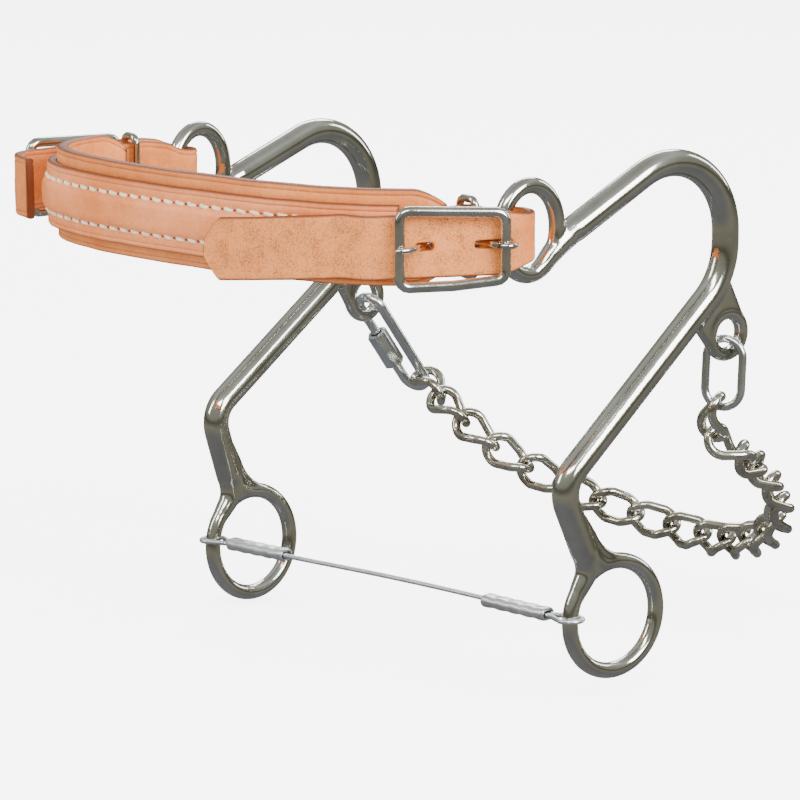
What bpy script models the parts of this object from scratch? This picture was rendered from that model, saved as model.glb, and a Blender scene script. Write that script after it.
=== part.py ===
"""A bitless hackamore: two cast cheeks, a leather noseband, a curb chain and a spreader cable.

Lengths are in millimetres here and become metres when a mesh is made. +X is the wearer's left, -Y is the
way its nose points, and +Z is up. The origin is the middle of the band's inner face, over the nose.
"""

import math

import bmesh
import bpy
import numpy as np
from mathutils import Matrix, Vector

MM = 0.001
GAP = 0.3
ORIGIN = (-0.7, -75.4, 62.0)

# Cheeks, in their own plane: y to the rear, z up.
CHEEK_SPACING = 155.0
ROD_RADIUS = 3.9
ROD_CORNERS = [(-5.6, 57.4, 0), (56.9, 89.4, 21.3), (56.9, 41.9, 21.3), (-3.35, -11.6, 9.0), (8.5, -38.2, 0)]
NOSE_RING_CENTRE = (-15.1, 62.1)
NOSE_RING_HALF = (10.0, 12.4)
REIN_RING_CENTRE = (16.3, -51.35)
REIN_RING_RADIUS = 15.85
RING_WIRE = 2.35
ROD_END = 2.5
ROD_END_REACH = 7.5

# Where the rod flows into a ring's wire: (y, z, radius) along each root.
ROOTS = [
    [(3.5, 62.06, 3.6), (-2.0, 58.7, 3.4), (-6.6, 55.2, 3.0), (-10.3, 51.8, 2.55), (-13.6, 49.9, 2.2)],
    [(2.62, -25.0, 3.6), (5.6, -32.0, 3.6), (6.3, -37.2, 3.2), (3.9, -41.6, 2.7), (1.82, -44.9, 2.2)],
    [(2.9, -25.5, 3.2), (6.8, -31.4, 3.0), (11.4, -35.3, 2.6), (16.3, -35.5, 2.2)],
]
EYE_CENTRE = (57.5, 24.8)
EYE_RADIUS = 7.6
EYE_HOLE = 4.2
PLATE = 4.0
RIGHT_OFFSET = (-CHEEK_SPACING / 2, -8.16, -3.72)
RIGHT_TURN = (-8.15, -2.79, 6.46)
SWING_AXIS = (-17.6, 62.0)

# Noseband, seen from above: the outer face of its base, from the left end to the right end.
BAND_LINE = [
    (71.4, -38.5), (70.0, -44.0), (65.4, -50.6), (58.0, -57.8), (46.0, -65.2), (31.0, -71.4), (15.0, -75.6),
    (0.0, -78.9), (-15.0, -81.4), (-30.0, -82.8), (-45.0, -82.4), (-56.0, -80.0), (-63.6, -75.4),
    (-69.2, -68.0), (-72.2, -58.5), (-73.0, -47.5),
]
BAND_MID_Z = 62.0
BASE_THICK = 3.5
BASE_HALF = 13.3
LEATHER = 2.6
OVERLAY_HALF = 9.4
CORE_HALF = 4.6
CORE_THICK = 1.2

# Straps, seen from above as (x, y, height of the middle, half width): from the band, round the ring, to the tip.
STRAP = 2.5
STRAP_HALF = 8.8
FOLD_HALF = 6.9
BILLET_LIFT = 6.3
LEFT_STRAP = [
    (72.3, -42.4, 61.8, 8.8), (72.8, -38.0, 61.8, 8.8), (73.2, -32.0, 61.9, 8.6), (73.4, -26.5, 61.9, 7.2),
    (73.7, -22.4, 61.9, 6.9), (75.4, -18.7, 61.9, 6.9), (78.6, -17.3, 61.9, 6.9), (82.0, -18.1, 61.8, 6.9),
    (84.2, -20.9, 61.6, 6.9), (84.7, -24.3, 61.4, 7.6), (83.5, -29.2, 61.0, 8.8), (79.9, -37.2, 61.0, 8.8),
    (75.6, -46.8, 61.0, 8.8), (71.5, -56.0, 61.0, 8.8), (66.4, -62.0, 60.6, 8.8),
]
RIGHT_STRAP = [
    (-74.6, -52.4, 62.5, 8.9), (-74.75, -46.0, 62.5, 8.9), (-74.8, -38.0, 62.4, 8.9), (-74.7, -30.0, 61.8, 8.2),
    (-74.4, -26.0, 61.0, 7.2), (-74.6, -22.0, 60.4, 6.9), (-76.2, -18.9, 60.3, 6.9), (-79.3, -17.6, 60.3, 6.9),
    (-82.6, -18.9, 60.4, 6.9), (-84.4, -22.6, 61.0, 7.2), (-84.2, -27.0, 61.6, 8.2), (-82.3, -35.0, 62.2, 8.9),
    (-81.35, -44.0, 62.5, 8.9), (-81.1, -53.0, 62.5, 8.9), (-80.8, -62.0, 62.5, 8.9), (-80.55, -70.0, 62.5, 8.9),
    (-80.4, -75.4, 62.5, 8.9), (-78.2, -79.6, 62.5, 8.9), (-73.2, -82.2, 62.5, 8.9), (-65.6, -83.7, 62.5, 8.9),
]
LEFT_BARS = ((83.5, -29.2), (71.5, -56.0))
RIGHT_BARS = ((-81.5, -40.6), (-80.5, -71.5))
BAR_LIFT = 3.6
BUCKLE_WIRE = 1.5
TONGUE_WIRE = 0.85
TONGUE_UNDER = 2.6
LOOP_WIRE = 1.1

# Curb chain: the points where its links meet, from the quick link to the connector.
CHAIN_LINE = [
    (-82.5, 70.9, -16.6), (-71.0, 68.5, -20.6), (-60.1, 69.9, -25.8), (-50.8, 73.6, -31.8),
    (-42.9, 80.8, -37.8), (-34.2, 89.0, -43.5), (-25.3, 97.8, -48.2), (-15.7, 104.6, -51.2),
    (-4.6, 109.1, -52.9), (7.3, 110.6, -53.1), (19.4, 109.4, -51.7), (31.0, 107.3, -48.8),
    (41.9, 104.2, -44.4), (51.8, 100.0, -37.5), (59.3, 94.0, -29.2), (63.6, 85.6, -21.2),
    (67.5, 76.8, -14.2), (74.0, 67.5, -10.0), (71.0, 59.2, -4.0), (77.5, 56.6, 4.9),
]
LINK_COUNT = 19
LINK_TWIST = -math.pi / 2
LINK_PITCH = 12.5
LINK_SQUARENESS = 0.6
LINK_WIRE = 1.4
LINK_HALF_WIDTH = 4.5
LINK_BEND = 3.5
CHAIN_FACE = (-0.775, 0.598, -0.205)
CONNECTOR_WIRE = 1.2
CONNECTOR_HALF_WIDTH = 5.4
CONNECTOR_TURN = math.radians(30)
CONNECTOR_TOP = (77.5, 57.5, 23.3)
QUICK_WIRE = 1.6
QUICK_HALF_WIDTH = 4.3
QUICK_DROP = 0.5
SLEEVE_LENGTH = 12.5
SLEEVE_PLACE = 2.0

# Spreader cable.
CABLE_RADIUS = 0.75
NEAR_WRAP = -50.0
FAR_WRAP = -50.5
FERRULE_LENGTH = 25.0
FERRULE_START = 8.6
CABLE_BOW = 0.4

COLOURS = {
    "leather": ((0.72, 0.36, 0.19, 1), 0.6, 0.0),
    "leather_pale": ((0.78, 0.45, 0.26, 1), 0.8, 0.0),
    "steel": ((0.50, 0.49, 0.45, 1), 0.22, 1.0),
    "nickel": ((0.62, 0.58, 0.50, 1), 0.25, 1.0),
    "cable": ((0.62, 0.66, 0.66, 1), 0.4, 1.0),
    "aluminium": ((0.72, 0.74, 0.75, 1), 0.45, 1.0),
}


def clear_scene():
    for obj in list(bpy.data.objects):
        bpy.data.objects.remove(obj, do_unlink=True)


def material(name):
    found = bpy.data.materials.get(name)
    if found:
        return found
    made = bpy.data.materials.new(name)
    made.use_nodes = True
    shader = made.node_tree.nodes["Principled BSDF"]
    colour, roughness, metallic = COLOURS[name]
    shader.inputs["Base Color"].default_value = colour
    shader.inputs["Roughness"].default_value = roughness
    shader.inputs["Metallic"].default_value = metallic
    return made


def finish_mesh(name, bm, finish, origin=ORIGIN, matrix=None):
    """Makes the object from a mesh in millimetres, with its origin at a point in millimetres."""
    if matrix:
        bmesh.ops.transform(bm, matrix=matrix, verts=bm.verts)
    origin = Vector(origin)
    bmesh.ops.translate(bm, vec=-origin, verts=bm.verts)
    bmesh.ops.scale(bm, vec=(MM, MM, MM), verts=bm.verts)
    bmesh.ops.recalc_face_normals(bm, faces=bm.faces)
    data = bpy.data.meshes.new(name)
    bm.to_mesh(data)
    bm.free()
    data.shade_smooth()
    data.set_sharp_from_angle(angle=math.radians(40))
    data.materials.append(material(finish))
    obj = bpy.data.objects.new(name, data)
    obj.location = (origin - Vector(ORIGIN)) * MM
    bpy.context.scene.collection.objects.link(obj)
    return obj


# Lines.


def rounded_path(corners, step=15.0):
    """A polyline through (y, z, radius) corners, each turned on an arc with a point every step degrees."""
    points = [Vector(c[:2]) for c in corners]
    path = [points[0]]
    for (_, _, radius), before, at, after in zip(corners[1:-1], points, points[1:], points[2:]):
        into, out = (at - before).normalized(), (after - at).normalized()
        turn = into.angle_signed(out)
        centre_side = Vector((into.y, -into.x)) * math.copysign(1, turn)
        start = at - into * radius * math.tan(abs(turn) / 2)
        centre = start + centre_side * radius
        count = max(2, round(math.degrees(abs(turn)) / step))
        for i in range(count + 1):
            spin = Matrix.Rotation(-turn * i / count, 2)
            path.append(centre + spin @ (start - centre))
    path.append(points[-1])
    return path


def smooth_line(points, spacing, closed=False):
    """A Catmull-Rom curve through the points, as points about the spacing apart."""
    points = [Vector(p) for p in points]
    if closed:
        extended = [points[-1]] + points + points[:2]
    else:
        extended = [2 * points[0] - points[1]] + points + [2 * points[-1] - points[-2]]
    dense = []
    for a, b, c, d in zip(extended, extended[1:], extended[2:], extended[3:]):
        for i in range(24):
            t = i / 24
            dense.append(
                0.5 * (2 * b + (c - a) * t + (2 * a - 5 * b + 4 * c - d) * t**2 + (3 * b - a - 3 * c + d) * t**3)
            )
    if not closed:
        dense.append(points[-1])
    return even_points(dense, spacing, closed)


def lengths_along(points):
    steps = [(b - a).length for a, b in zip(points, points[1:])]
    return [0.0] + list(np.cumsum(steps))


def point_at(points, along, distance):
    """The point at a distance along the polyline, and the direction there."""
    i = int(np.clip(np.searchsorted(along, distance) - 1, 0, len(points) - 2))
    share = (distance - along[i]) / (along[i + 1] - along[i])
    return points[i].lerp(points[i + 1], share), (points[i + 1] - points[i]).normalized()


def even_points(points, spacing, closed=False):
    if closed:
        points = points + [points[0]]
    along = lengths_along(points)
    count = max(2, round(along[-1] / spacing))
    picked = [point_at(points, along, along[-1] * i / count)[0] for i in range(count + 1)]
    return picked[:-1] if closed else picked


def offset_line(points, distance):
    """The plan line moved sideways, away from the nose for a positive distance."""
    moved = []
    for i, p in enumerate(points):
        before, after = points[max(i - 1, 0)], points[min(i + 1, len(points) - 1)]
        along = (after - before).normalized()
        moved.append(p + Vector((-along.y, along.x)) * distance)
    return moved


# Solids.


def sweep(bm, rings, closed):
    """Skins rings of points, which all have one count, and caps the ends of an open run."""
    made = [[bm.verts.new(p) for p in ring] for ring in rings]
    pairs = list(zip(made, made[1:])) + ([(made[-1], made[0])] if closed else [])
    for a, b in pairs:
        for i in range(len(a)):
            j = (i + 1) % len(a)
            bm.faces.new((a[i], a[j], b[j], b[i]))
    if not closed:
        bm.faces.new(made[0])
        bm.faces.new(list(reversed(made[-1])))
    return bm


def carried_frames(points, closed, first=None):
    """For each point, the direction along and one across it that turns no more than it must."""
    count = len(points)
    tangents = []
    for i in range(count):
        if closed:
            step = points[(i + 1) % count] - points[i - 1]
        else:
            step = points[min(i + 1, count - 1)] - points[max(i - 1, 0)]
        tangents.append(step.normalized())
    across = first or tangents[0].orthogonal()
    across = (across - tangents[0] * across.dot(tangents[0])).normalized()
    normals = [across]
    for i in range(1, count):
        turn = tangents[i - 1].rotation_difference(tangents[i])
        across = turn @ across
        normals.append((across - tangents[i] * across.dot(tangents[i])).normalized())
    if closed:
        back = tangents[-1].rotation_difference(tangents[0]) @ normals[-1]
        error = math.atan2(back.cross(normals[0]).dot(tangents[0]), back.dot(normals[0]))
        for i in range(count):
            normals[i] = Matrix.Rotation(error * i / count, 3, tangents[i]) @ normals[i]
    return list(zip(tangents, normals))


def wire_mesh(points, radius, sides=10, closed=False, bm=None):
    """A round wire along the points; a radius can be one number or one for each point."""
    bm = bm or bmesh.new()
    points = [Vector(p) for p in points]
    radii = [radius] * len(points) if isinstance(radius, float) else radius
    rings = []
    for p, r, (along, across) in zip(points, radii, carried_frames(points, closed)):
        other = along.cross(across)
        turns = [2 * math.pi * k / sides for k in range(sides)]
        rings.append([p + (across * math.cos(a) + other * math.sin(a)) * r for a in turns])
    return sweep(bm, rings, closed)


def plate_mesh(outline, thickness, bevel=0.0):
    """An outline of (y, z) points as a plate centred on x = 0."""
    bm = bmesh.new()
    face = bm.faces.new([bm.verts.new((-thickness / 2, y, z)) for y, z in outline])
    pushed = bmesh.ops.extrude_face_region(bm, geom=[face])["geom"]
    corners = [v for v in pushed if isinstance(v, bmesh.types.BMVert)]
    bmesh.ops.translate(bm, vec=(thickness, 0, 0), verts=corners)
    bmesh.ops.recalc_face_normals(bm, faces=bm.faces)
    if bevel:
        rims = [e for e in bm.edges if abs(e.verts[0].co.x - e.verts[1].co.x) < 1e-6]
        bmesh.ops.bevel(bm, geom=rims, offset=bevel, segments=2, profile=0.5, affect="EDGES")
    return bm


def strip_mesh(line, heights, halves, thickness, inner=None):
    """A leather strip on edge: a plan line, and at each point its middle's height and half its width."""
    soft = thickness * 0.25
    rings = []
    count = len(line)
    for i, (p, height, half) in enumerate(zip(line, heights, halves)):
        along = (line[min(i + 1, count - 1)] - line[max(i - 1, 0)]).normalized()
        out = Vector((-along.y, along.x, 0)) * thickness / 2
        middle = Vector((p.x, p.y, height))
        up = Vector((0, 0, 1))
        ring = []
        for side, level in ((-1, -1), (1, -1), (1, 1), (-1, 1)):
            corner = [(side, half - soft), (side * 0.5, half)]
            if side * level < 0:
                corner.reverse()
            ring += [middle + out * s + up * h * level for s, h in corner]
        rings.append(ring)
    return sweep(bmesh.new(), rings, False)


def combined(base, others, operation):
    """The base mesh joined with, or cut by, each of the others. Meshes are in millimetres."""
    result = base
    for other in others:
        objects = []
        for bm in (result, other):
            bmesh.ops.recalc_face_normals(bm, faces=bm.faces)
            data = bpy.data.meshes.new("temporary")
            bm.to_mesh(data)
            bm.free()
            obj = bpy.data.objects.new("temporary", data)
            bpy.context.scene.collection.objects.link(obj)
            objects.append(obj)
        boolean = objects[0].modifiers.new("boolean", "BOOLEAN")
        boolean.operation = operation
        boolean.object = objects[1]
        boolean.solver = "EXACT"
        graph = bpy.context.evaluated_depsgraph_get()
        data = bpy.data.meshes.new_from_object(objects[0].evaluated_get(graph))
        result = bmesh.new()
        result.from_mesh(data)
        for obj in objects:
            bpy.data.objects.remove(obj, do_unlink=True)
    bmesh.ops.remove_doubles(result, verts=result.verts, dist=0.002)
    return result


# Cheeks.


def ellipse(centre, half, count):
    turns = [2 * math.pi * i / count for i in range(count)]
    return [(0, centre[0] + half[0] * math.cos(a), centre[1] + half[1] * math.sin(a)) for a in turns]


def arc(centre, radius, start, end, count):
    turns = [math.radians(start + (end - start) * i / (count - 1)) for i in range(count)]
    return [(centre[0] + radius * math.cos(a), centre[1] + radius * math.sin(a)) for a in turns]


def rod_mesh(step, sides):
    """The rod, thinning out where it meets the rings."""
    line = [Vector((0, p.x, p.y)) for p in rounded_path(ROD_CORNERS, step)]
    line.insert(1, line[0] + (line[1] - line[0]).normalized() * ROD_END_REACH)
    line.insert(-1, line[-1] + (line[-2] - line[-1]).normalized() * ROD_END_REACH)
    radii = [ROD_END] + [ROD_RADIUS] * (len(line) - 2) + [ROD_END]
    return wire_mesh(line, radii, sides)


def root_mesh(root, spacing, sides):
    """A tapered wire that leads from the rod into a ring."""
    line = smooth_line([Vector((0, y, z)) for y, z, _ in root], spacing)
    along = lengths_along(line)
    marks = lengths_along([Vector((0, y, z)) for y, z, _ in root])
    share = along[-1] / marks[-1]
    radii = [float(np.interp(s, [m * share for m in marks], [r for _, _, r in root])) for s in along]
    return wire_mesh(line, radii, sides)


def cheek_mesh():
    body = rod_mesh(15.0, 12)
    nose_ring = wire_mesh(ellipse(NOSE_RING_CENTRE, NOSE_RING_HALF, 30), RING_WIRE, 8, True)
    rein_ring = wire_mesh(ellipse(REIN_RING_CENTRE, (REIN_RING_RADIUS,) * 2, 36), RING_WIRE, 8, True)
    tab = plate_mesh([(44.0, 29.6)] + arc(EYE_CENTRE, EYE_RADIUS, -140, 35, 15) + [(57.2, 42.5)], PLATE, 0.8)
    web = [(3.2, -24.5), (5.2, -29.0), (8.2, -39.0), (20.5, -36.2), (20.5, -34.0)]
    crotch = arc((21.0, -20.3), 13.4, 264, 205, 8) + [(4.8, -20.0)]
    gusset = plate_mesh(web + crotch, PLATE, 0.8)
    roots = [root_mesh(root, 2.5, 10) for root in ROOTS]
    body = combined(body, [nose_ring, rein_ring, tab, gusset] + roots, "UNION")
    hole = bmesh.new()
    spin = Matrix.Translation((0, *EYE_CENTRE)) @ Matrix.Rotation(math.pi / 2, 4, "Y")
    bmesh.ops.create_cone(hole, cap_ends=True, segments=24, radius1=EYE_HOLE, radius2=EYE_HOLE, depth=20,
                          matrix=spin)
    return combined(body, [hole], "DIFFERENCE")


def cheek_matrix(side):
    if side == "left":
        return Matrix.Translation((CHEEK_SPACING / 2, 0, 0))
    turn = Matrix.Identity(4)
    for angle, axis in zip(RIGHT_TURN, "XYZ"):
        turn = Matrix.Rotation(math.radians(angle), 4, axis) @ turn
    return Matrix.Translation(RIGHT_OFFSET) @ turn


def cheek_point(side, y, z):
    return cheek_matrix(side) @ Vector((0, y, z))


def make_cheeks():
    for side in ("left", "right"):
        x = cheek_point(side, *SWING_AXIS).x
        finish_mesh(side + "_shank", cheek_mesh(), "steel", (x, *SWING_AXIS), cheek_matrix(side))


# Noseband.


def band_line(spacing=5.0):
    return smooth_line(BAND_LINE, spacing)


def part_of(line, start, end):
    along = lengths_along(line)
    inside = [p for p, s in zip(line, along) if start < s < along[-1] - end]
    ends = point_at(line, along, start)[0], point_at(line, along, along[-1] - end)[0]
    return [ends[0]] + inside + [ends[1]]


def base_halves(line):
    """Half the base's height: full in front, drawn in to the strap at both ends."""
    along = lengths_along(line)
    halves = []
    for s in along:
        end = min(s, along[-1] - s)
        halves.append(BASE_HALF - (BASE_HALF - STRAP_HALF - 0.3) * max(0.0, 1 - end / 9.0) ** 1.6)
    return halves


def overlay_mesh(line):
    """The stitched strip, with the rise over the core in its middle."""
    low, high = GAP, GAP + LEATHER
    rise = CORE_THICK + GAP
    half, core = OVERLAY_HALF, CORE_HALF
    section = [
        (-half, low + 0.5), (-half + 0.4, low), (-core - 0.9, low), (-core - 0.5, low + rise),
        (core + 0.5, low + rise), (core + 0.9, low), (half - 0.4, low), (half, low + 0.5), (half, high - 0.7),
        (half - 0.7, high), (core + 2.0, high), (core + 0.6, high + rise * 0.75), (core - 1.2, high + rise),
        (-core + 1.2, high + rise), (-core - 0.6, high + rise * 0.75), (-core - 2.0, high), (-half + 0.7, high),
        (-half, high - 0.7),
    ]
    rings = []
    for i, p in enumerate(line):
        along = (line[min(i + 1, len(line) - 1)] - line[max(i - 1, 0)]).normalized()
        out = Vector((-along.y, along.x, 0))
        middle = Vector((p.x, p.y, BAND_MID_Z))
        rings.append([middle + out * o + Vector((0, 0, h)) for h, o in section])
    return sweep(bmesh.new(), rings, False)


def make_noseband():
    line = band_line()
    base = offset_line(line, -BASE_THICK / 2)
    heights = [BAND_MID_Z] * len(base)
    finish_mesh("noseband_base", strip_mesh(base, heights, base_halves(base), BASE_THICK), "leather")
    covered = part_of(line, 13.5, 24)
    core = part_of(offset_line(line, GAP + CORE_THICK / 2), 18.5, 26)
    flat = [BAND_MID_Z] * len(core), [CORE_HALF] * len(core)
    finish_mesh("noseband_filler", strip_mesh(core, *flat, CORE_THICK), "leather_pale")
    finish_mesh("noseband_overlay", overlay_mesh(covered), "leather")


# Straps and their buckles.


def strap_rows(side):
    """The strap as smooth rows of (x, y, height of the middle, half width)."""
    rows = [Vector(r) for r in (LEFT_STRAP if side == "left" else RIGHT_STRAP)]
    if side == "left":
        front = part_of(offset_line(band_line(4.0), BILLET_LIFT), 32, 130)
        reach = [p for p in front if p.x > 16]
        fall = [max(0.0, (60.0 - p.x) / 46.0) for p in reach]
        rows += [Vector((p.x, p.y, 60.6 - 5.0 * f, STRAP_HALF)) for p, f in zip(reach[::2], fall[::2])]
    extended = [2 * rows[0] - rows[1]] + rows + [2 * rows[-1] - rows[-2]]
    dense = []
    for a, b, c, d in zip(extended, extended[1:], extended[2:], extended[3:]):
        for i in range(3):
            t = i / 3
            dense.append(
                0.5 * (2 * b + (c - a) * t + (2 * a - 5 * b + 4 * c - d) * t**2 + (3 * b - a - 3 * c + d) * t**3)
            )
    dense.append(rows[-1])
    return dense


def arrow_tip(rows):
    """Three more rows that draw the strap in to a blunt point."""
    ahead = (rows[-1] - rows[-2]).to_2d().normalized()
    last = rows[-1]
    tips = []
    for step, half in ((1.4, 7.4), (4.4, 3.9), (5.4, 1.6)):
        spot = last.to_2d() + ahead * step
        tips.append(Vector((spot.x, spot.y, last.z - step * 0.11, half)))
    return rows + tips


class BuckleFrame:
    """Places points along a buckle, outward from its strap, and up."""

    def __init__(self, bars, height):
        first, second = Vector(bars[0]), Vector(bars[1])
        self.along = (second - first).normalized()
        self.out = Vector((-self.along.y, self.along.x)) * (1 if bars[0][0] > 0 else -1)
        self.start = first
        self.length = (second - first).length
        self.height = height

    def at(self, along, out, up=0.0):
        spot = self.start + self.along * along + self.out * out
        return Vector((spot.x, spot.y, self.height + up))

    def axes(self):
        columns = Matrix((self.along.to_3d(), self.out.to_3d(), Vector((0, 0, 1)))).transposed().to_4x4()
        return Matrix.Translation(self.at(0, 0)) @ columns


def slot_cutter(place, start, end, width):
    bm = bmesh.new()
    bmesh.ops.create_cube(bm, size=1.0)
    size = Matrix.Diagonal((end - start, 12.0, width, 1.0))
    bmesh.ops.transform(bm, matrix=size, verts=bm.verts)
    rims = [e for e in bm.edges if abs(e.verts[0].co.y - e.verts[1].co.y) > 6]
    bmesh.ops.bevel(bm, geom=rims, offset=width * 0.42, segments=3, profile=0.5, affect="EDGES")
    spot = place.axes() @ Matrix.Translation(((start + end) / 2, 0, 0))
    bmesh.ops.transform(bm, matrix=spot, verts=bm.verts)
    return bm


def make_strap(side, place):
    rows = strap_rows(side)
    if side == "left":
        rows = arrow_tip(rows)
    line = [Vector((r.x, r.y)) for r in rows]
    bm = strip_mesh(line, [r.z for r in rows], [r.w for r in rows], STRAP)
    slots = [slot_cutter(place, -4.4, 8.4, 3.4), slot_cutter(place, place.length - 10.2, place.length - 3.6, 3.4)]
    finish_mesh(side + "_strap", combined(bm, slots, "DIFFERENCE"), "leather")


def make_buckle(side, place):
    pivot = place.at(0, BAR_LIFT)
    reach = place.length
    corners = [
        (reach / 2, -10.6, 0), (0, -9.5, 2.6), (0, 8.8, 2.6), (reach, 10.2, 2.6), (reach, -10.6, 2.6),
        (reach / 2, -10.6, 0),
    ]
    outline = rounded_path(corners, 22.0)[:-1]
    outline = [place.at(p.x, BAR_LIFT, p.y) for p in outline]
    finish_mesh(side + "_buckle_frame", wire_mesh(outline, BUCKLE_WIRE, 10, True), "nickel", pivot)
    ring = BUCKLE_WIRE + 0.35 + TONGUE_WIRE
    turns = [math.radians(-40 + 310 * i / 16) for i in range(17)]
    path = [(-ring * math.sin(a), BAR_LIFT + ring * math.cos(a)) for a in turns]
    under = -TONGUE_UNDER
    path += [(4.2, 0.1), (6.0, under * 0.75), (8.0, under), (reach - 10.4, under), (reach - 8.8, under * 0.7)]
    path += [(reach - 6.4, 1.0), (reach - 4.4, 4.3), (reach - 2.4, 6.0), (reach, 6.7), (reach + 1.9, 6.8)]
    points = [place.at(*p) for p in path]
    radii = [TONGUE_WIRE] * (len(points) - 2) + [TONGUE_WIRE * 0.95, TONGUE_WIRE * 0.7]
    finish_mesh(side + "_buckle_tongue", wire_mesh(points, radii, 8), "nickel", pivot)


def make_strap_loop(side, y, inner, outer, low, high):
    corners = [((inner + outer) / 2, low, 0), (outer, low, 2.0), (outer, high, 2.0), (inner, high, 2.0),
               (inner, low, 2.0), ((inner + outer) / 2, low, 0)]
    points = [Vector((p.x, y, p.y)) for p in rounded_path(corners, 22.0)[:-1]]
    finish_mesh(side + "_strap_loop", wire_mesh(points, LOOP_WIRE, 8, True), "nickel")


def make_straps():
    for side, bars, height in (("left", LEFT_BARS, 61.0), ("right", RIGHT_BARS, 62.5)):
        place = BuckleFrame(bars, height)
        make_strap(side, place)
        make_buckle(side, place)
    make_strap_loop("left", -33.2, 70.2, 76.9, 51.2, 72.2)
    make_strap_loop("right", -39.6, -71.7, -77.75, 51.8, 73.2)


# Curb chain.


def meeting_points():
    """Points an even chord apart along the chain's line, one more than there are links."""
    line = smooth_line(CHAIN_LINE, 0.5)
    low, high = 8.0, 16.0
    for _ in range(40):
        pitch = (low + high) / 2
        found = walk_chords(line, pitch, LINK_COUNT)
        if found is None:
            high = pitch
        else:
            low = pitch
    found = walk_chords(line, low, LINK_COUNT)
    found[-1] = Vector(CHAIN_LINE[-1])
    return found


def walk_chords(line, pitch, count):
    found = [line[0]]
    i = 0
    for _ in range(count):
        while i < len(line) - 1 and (line[i + 1] - found[-1]).length < pitch:
            i += 1
        if i == len(line) - 1:
            return None
        a, b = line[i], line[i + 1]
        low, high = 0.0, 1.0
        for _ in range(30):
            t = (low + high) / 2
            if (a.lerp(b, t) - found[-1]).length < pitch:
                low = t
            else:
                high = t
        found.append(a.lerp(b, low))
    return found


def link_matrix(start, end, across):
    """Stands a link along X between two points, its width along the direction across."""
    along = (end - start).normalized()
    width = (across - along * across.dot(along)).normalized()
    turn = Matrix((along, width, along.cross(width))).transposed().to_4x4()
    return Matrix.Translation((start + end) / 2) @ turn


def oval_points(half_length, half_width, segments, squareness=1.0):
    """A flat loop along X, from an ellipse at squareness 0 to straight sides and round ends at 1."""
    straight = half_length - half_width
    points = []
    for i in range(segments):
        a = 2 * math.pi * (i + 0.5) / segments
        x, y = math.cos(a), math.sin(a)
        pushed = math.copysign(straight, x) * squareness + straight * x * (1 - squareness)
        points.append(Vector((half_width * x + pushed, half_width * y, 0)))
    return points


def link_mesh(half_length, half_width, wire, twist, squareness, segments, sides):
    """A wire link along X, with its ends turned by twist from each other."""
    points = []
    for p in oval_points(half_length, half_width, segments, squareness):
        turn = Matrix.Rotation(twist / 2 * math.sin(p.x / half_length * math.pi / 2), 3, "X")
        points.append(turn @ p)
    return wire_mesh(points, wire, sides, True)


def chain_directions(points):
    return [(b - a).normalized() for a, b in zip(points, points[1:])]


def carried_widths(directions):
    """The way each link's width lies, carried from one facing direction in the middle without rolling."""
    middle = len(directions) // 2 - 2
    widths = {middle: directions[middle].cross(Vector(CHAIN_FACE)).normalized()}
    for step in (1, -1):
        i = middle
        while 0 <= i + step < len(directions):
            turn = directions[i].rotation_difference(directions[i + step])
            widths[i + step] = turn @ widths[i]
            i += step
    return middle, widths


def roll_to(width, along, wanted):
    """The smaller angle that rolls a width about its link to lie square to, or along, a wanted direction."""
    wanted = (wanted - along * wanted.dot(along)).normalized()
    angle = math.atan2(width.cross(wanted).dot(along), width.dot(wanted))
    return (angle + math.pi / 2) % math.pi - math.pi / 2


def chain_widths(directions, first_wanted, last_wanted):
    """Rolls the links near both ends a little at a time, so that each end link crosses what it hangs on."""
    middle, widths = carried_widths(directions)
    last = len(directions) - 1
    rolls = []
    for i, wanted, end_turn in ((0, first_wanted, -LINK_TWIST / 2), (last, last_wanted, LINK_TWIST / 2)):
        end_width = Matrix.Rotation(end_turn, 3, directions[i]) @ widths[i]
        rolls.append(roll_to(end_width, directions[i], wanted))
    turned = []
    for i, along in enumerate(directions):
        share = (middle - i) / middle if i < middle else (i - middle) / (last - middle)
        roll = (rolls[0] if i < middle else rolls[1]) * share**1.5
        turned.append(Matrix.Rotation(roll, 3, along) @ widths[i])
    return turned


class Bend:
    """The round end of a wire link: its centre, radius, wire, direction, and the normal of its plane."""

    def __init__(self, centre, radius, wire, along, normal):
        self.centre, self.radius, self.wire = centre, radius, wire
        self.along, self.normal = along, normal

    def hang(self, radius, wire, along):
        """Where the wire of the next link's round end comes, and the point where the two touch."""
        pull = (along - self.normal * along.dot(self.normal)).normalized()
        spacing = self.wire + wire + GAP
        tip = self.centre + pull * (self.radius + radius - spacing) - along * radius
        return tip, tip + pull * (wire + GAP / 2)


def chain_places(directions, widths, bend):
    """Hangs each link on the one before. Returns each link's centre, the touching points and the last bend."""
    half_length = LINK_PITCH / 2 + LINK_WIRE + GAP / 2
    centres, meets = [], []
    for along, width in zip(directions, widths):
        tip, meet = bend.hang(LINK_BEND, LINK_WIRE, along)
        centres.append(tip + along * half_length)
        meets.append(meet)
        end_width = Matrix.Rotation(LINK_TWIST / 2, 3, along) @ width
        centre = tip + along * (2 * half_length - LINK_BEND)
        bend = Bend(centre, LINK_BEND, LINK_WIRE, along, along.cross(end_width).normalized())
    return centres, meets, bend


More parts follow.
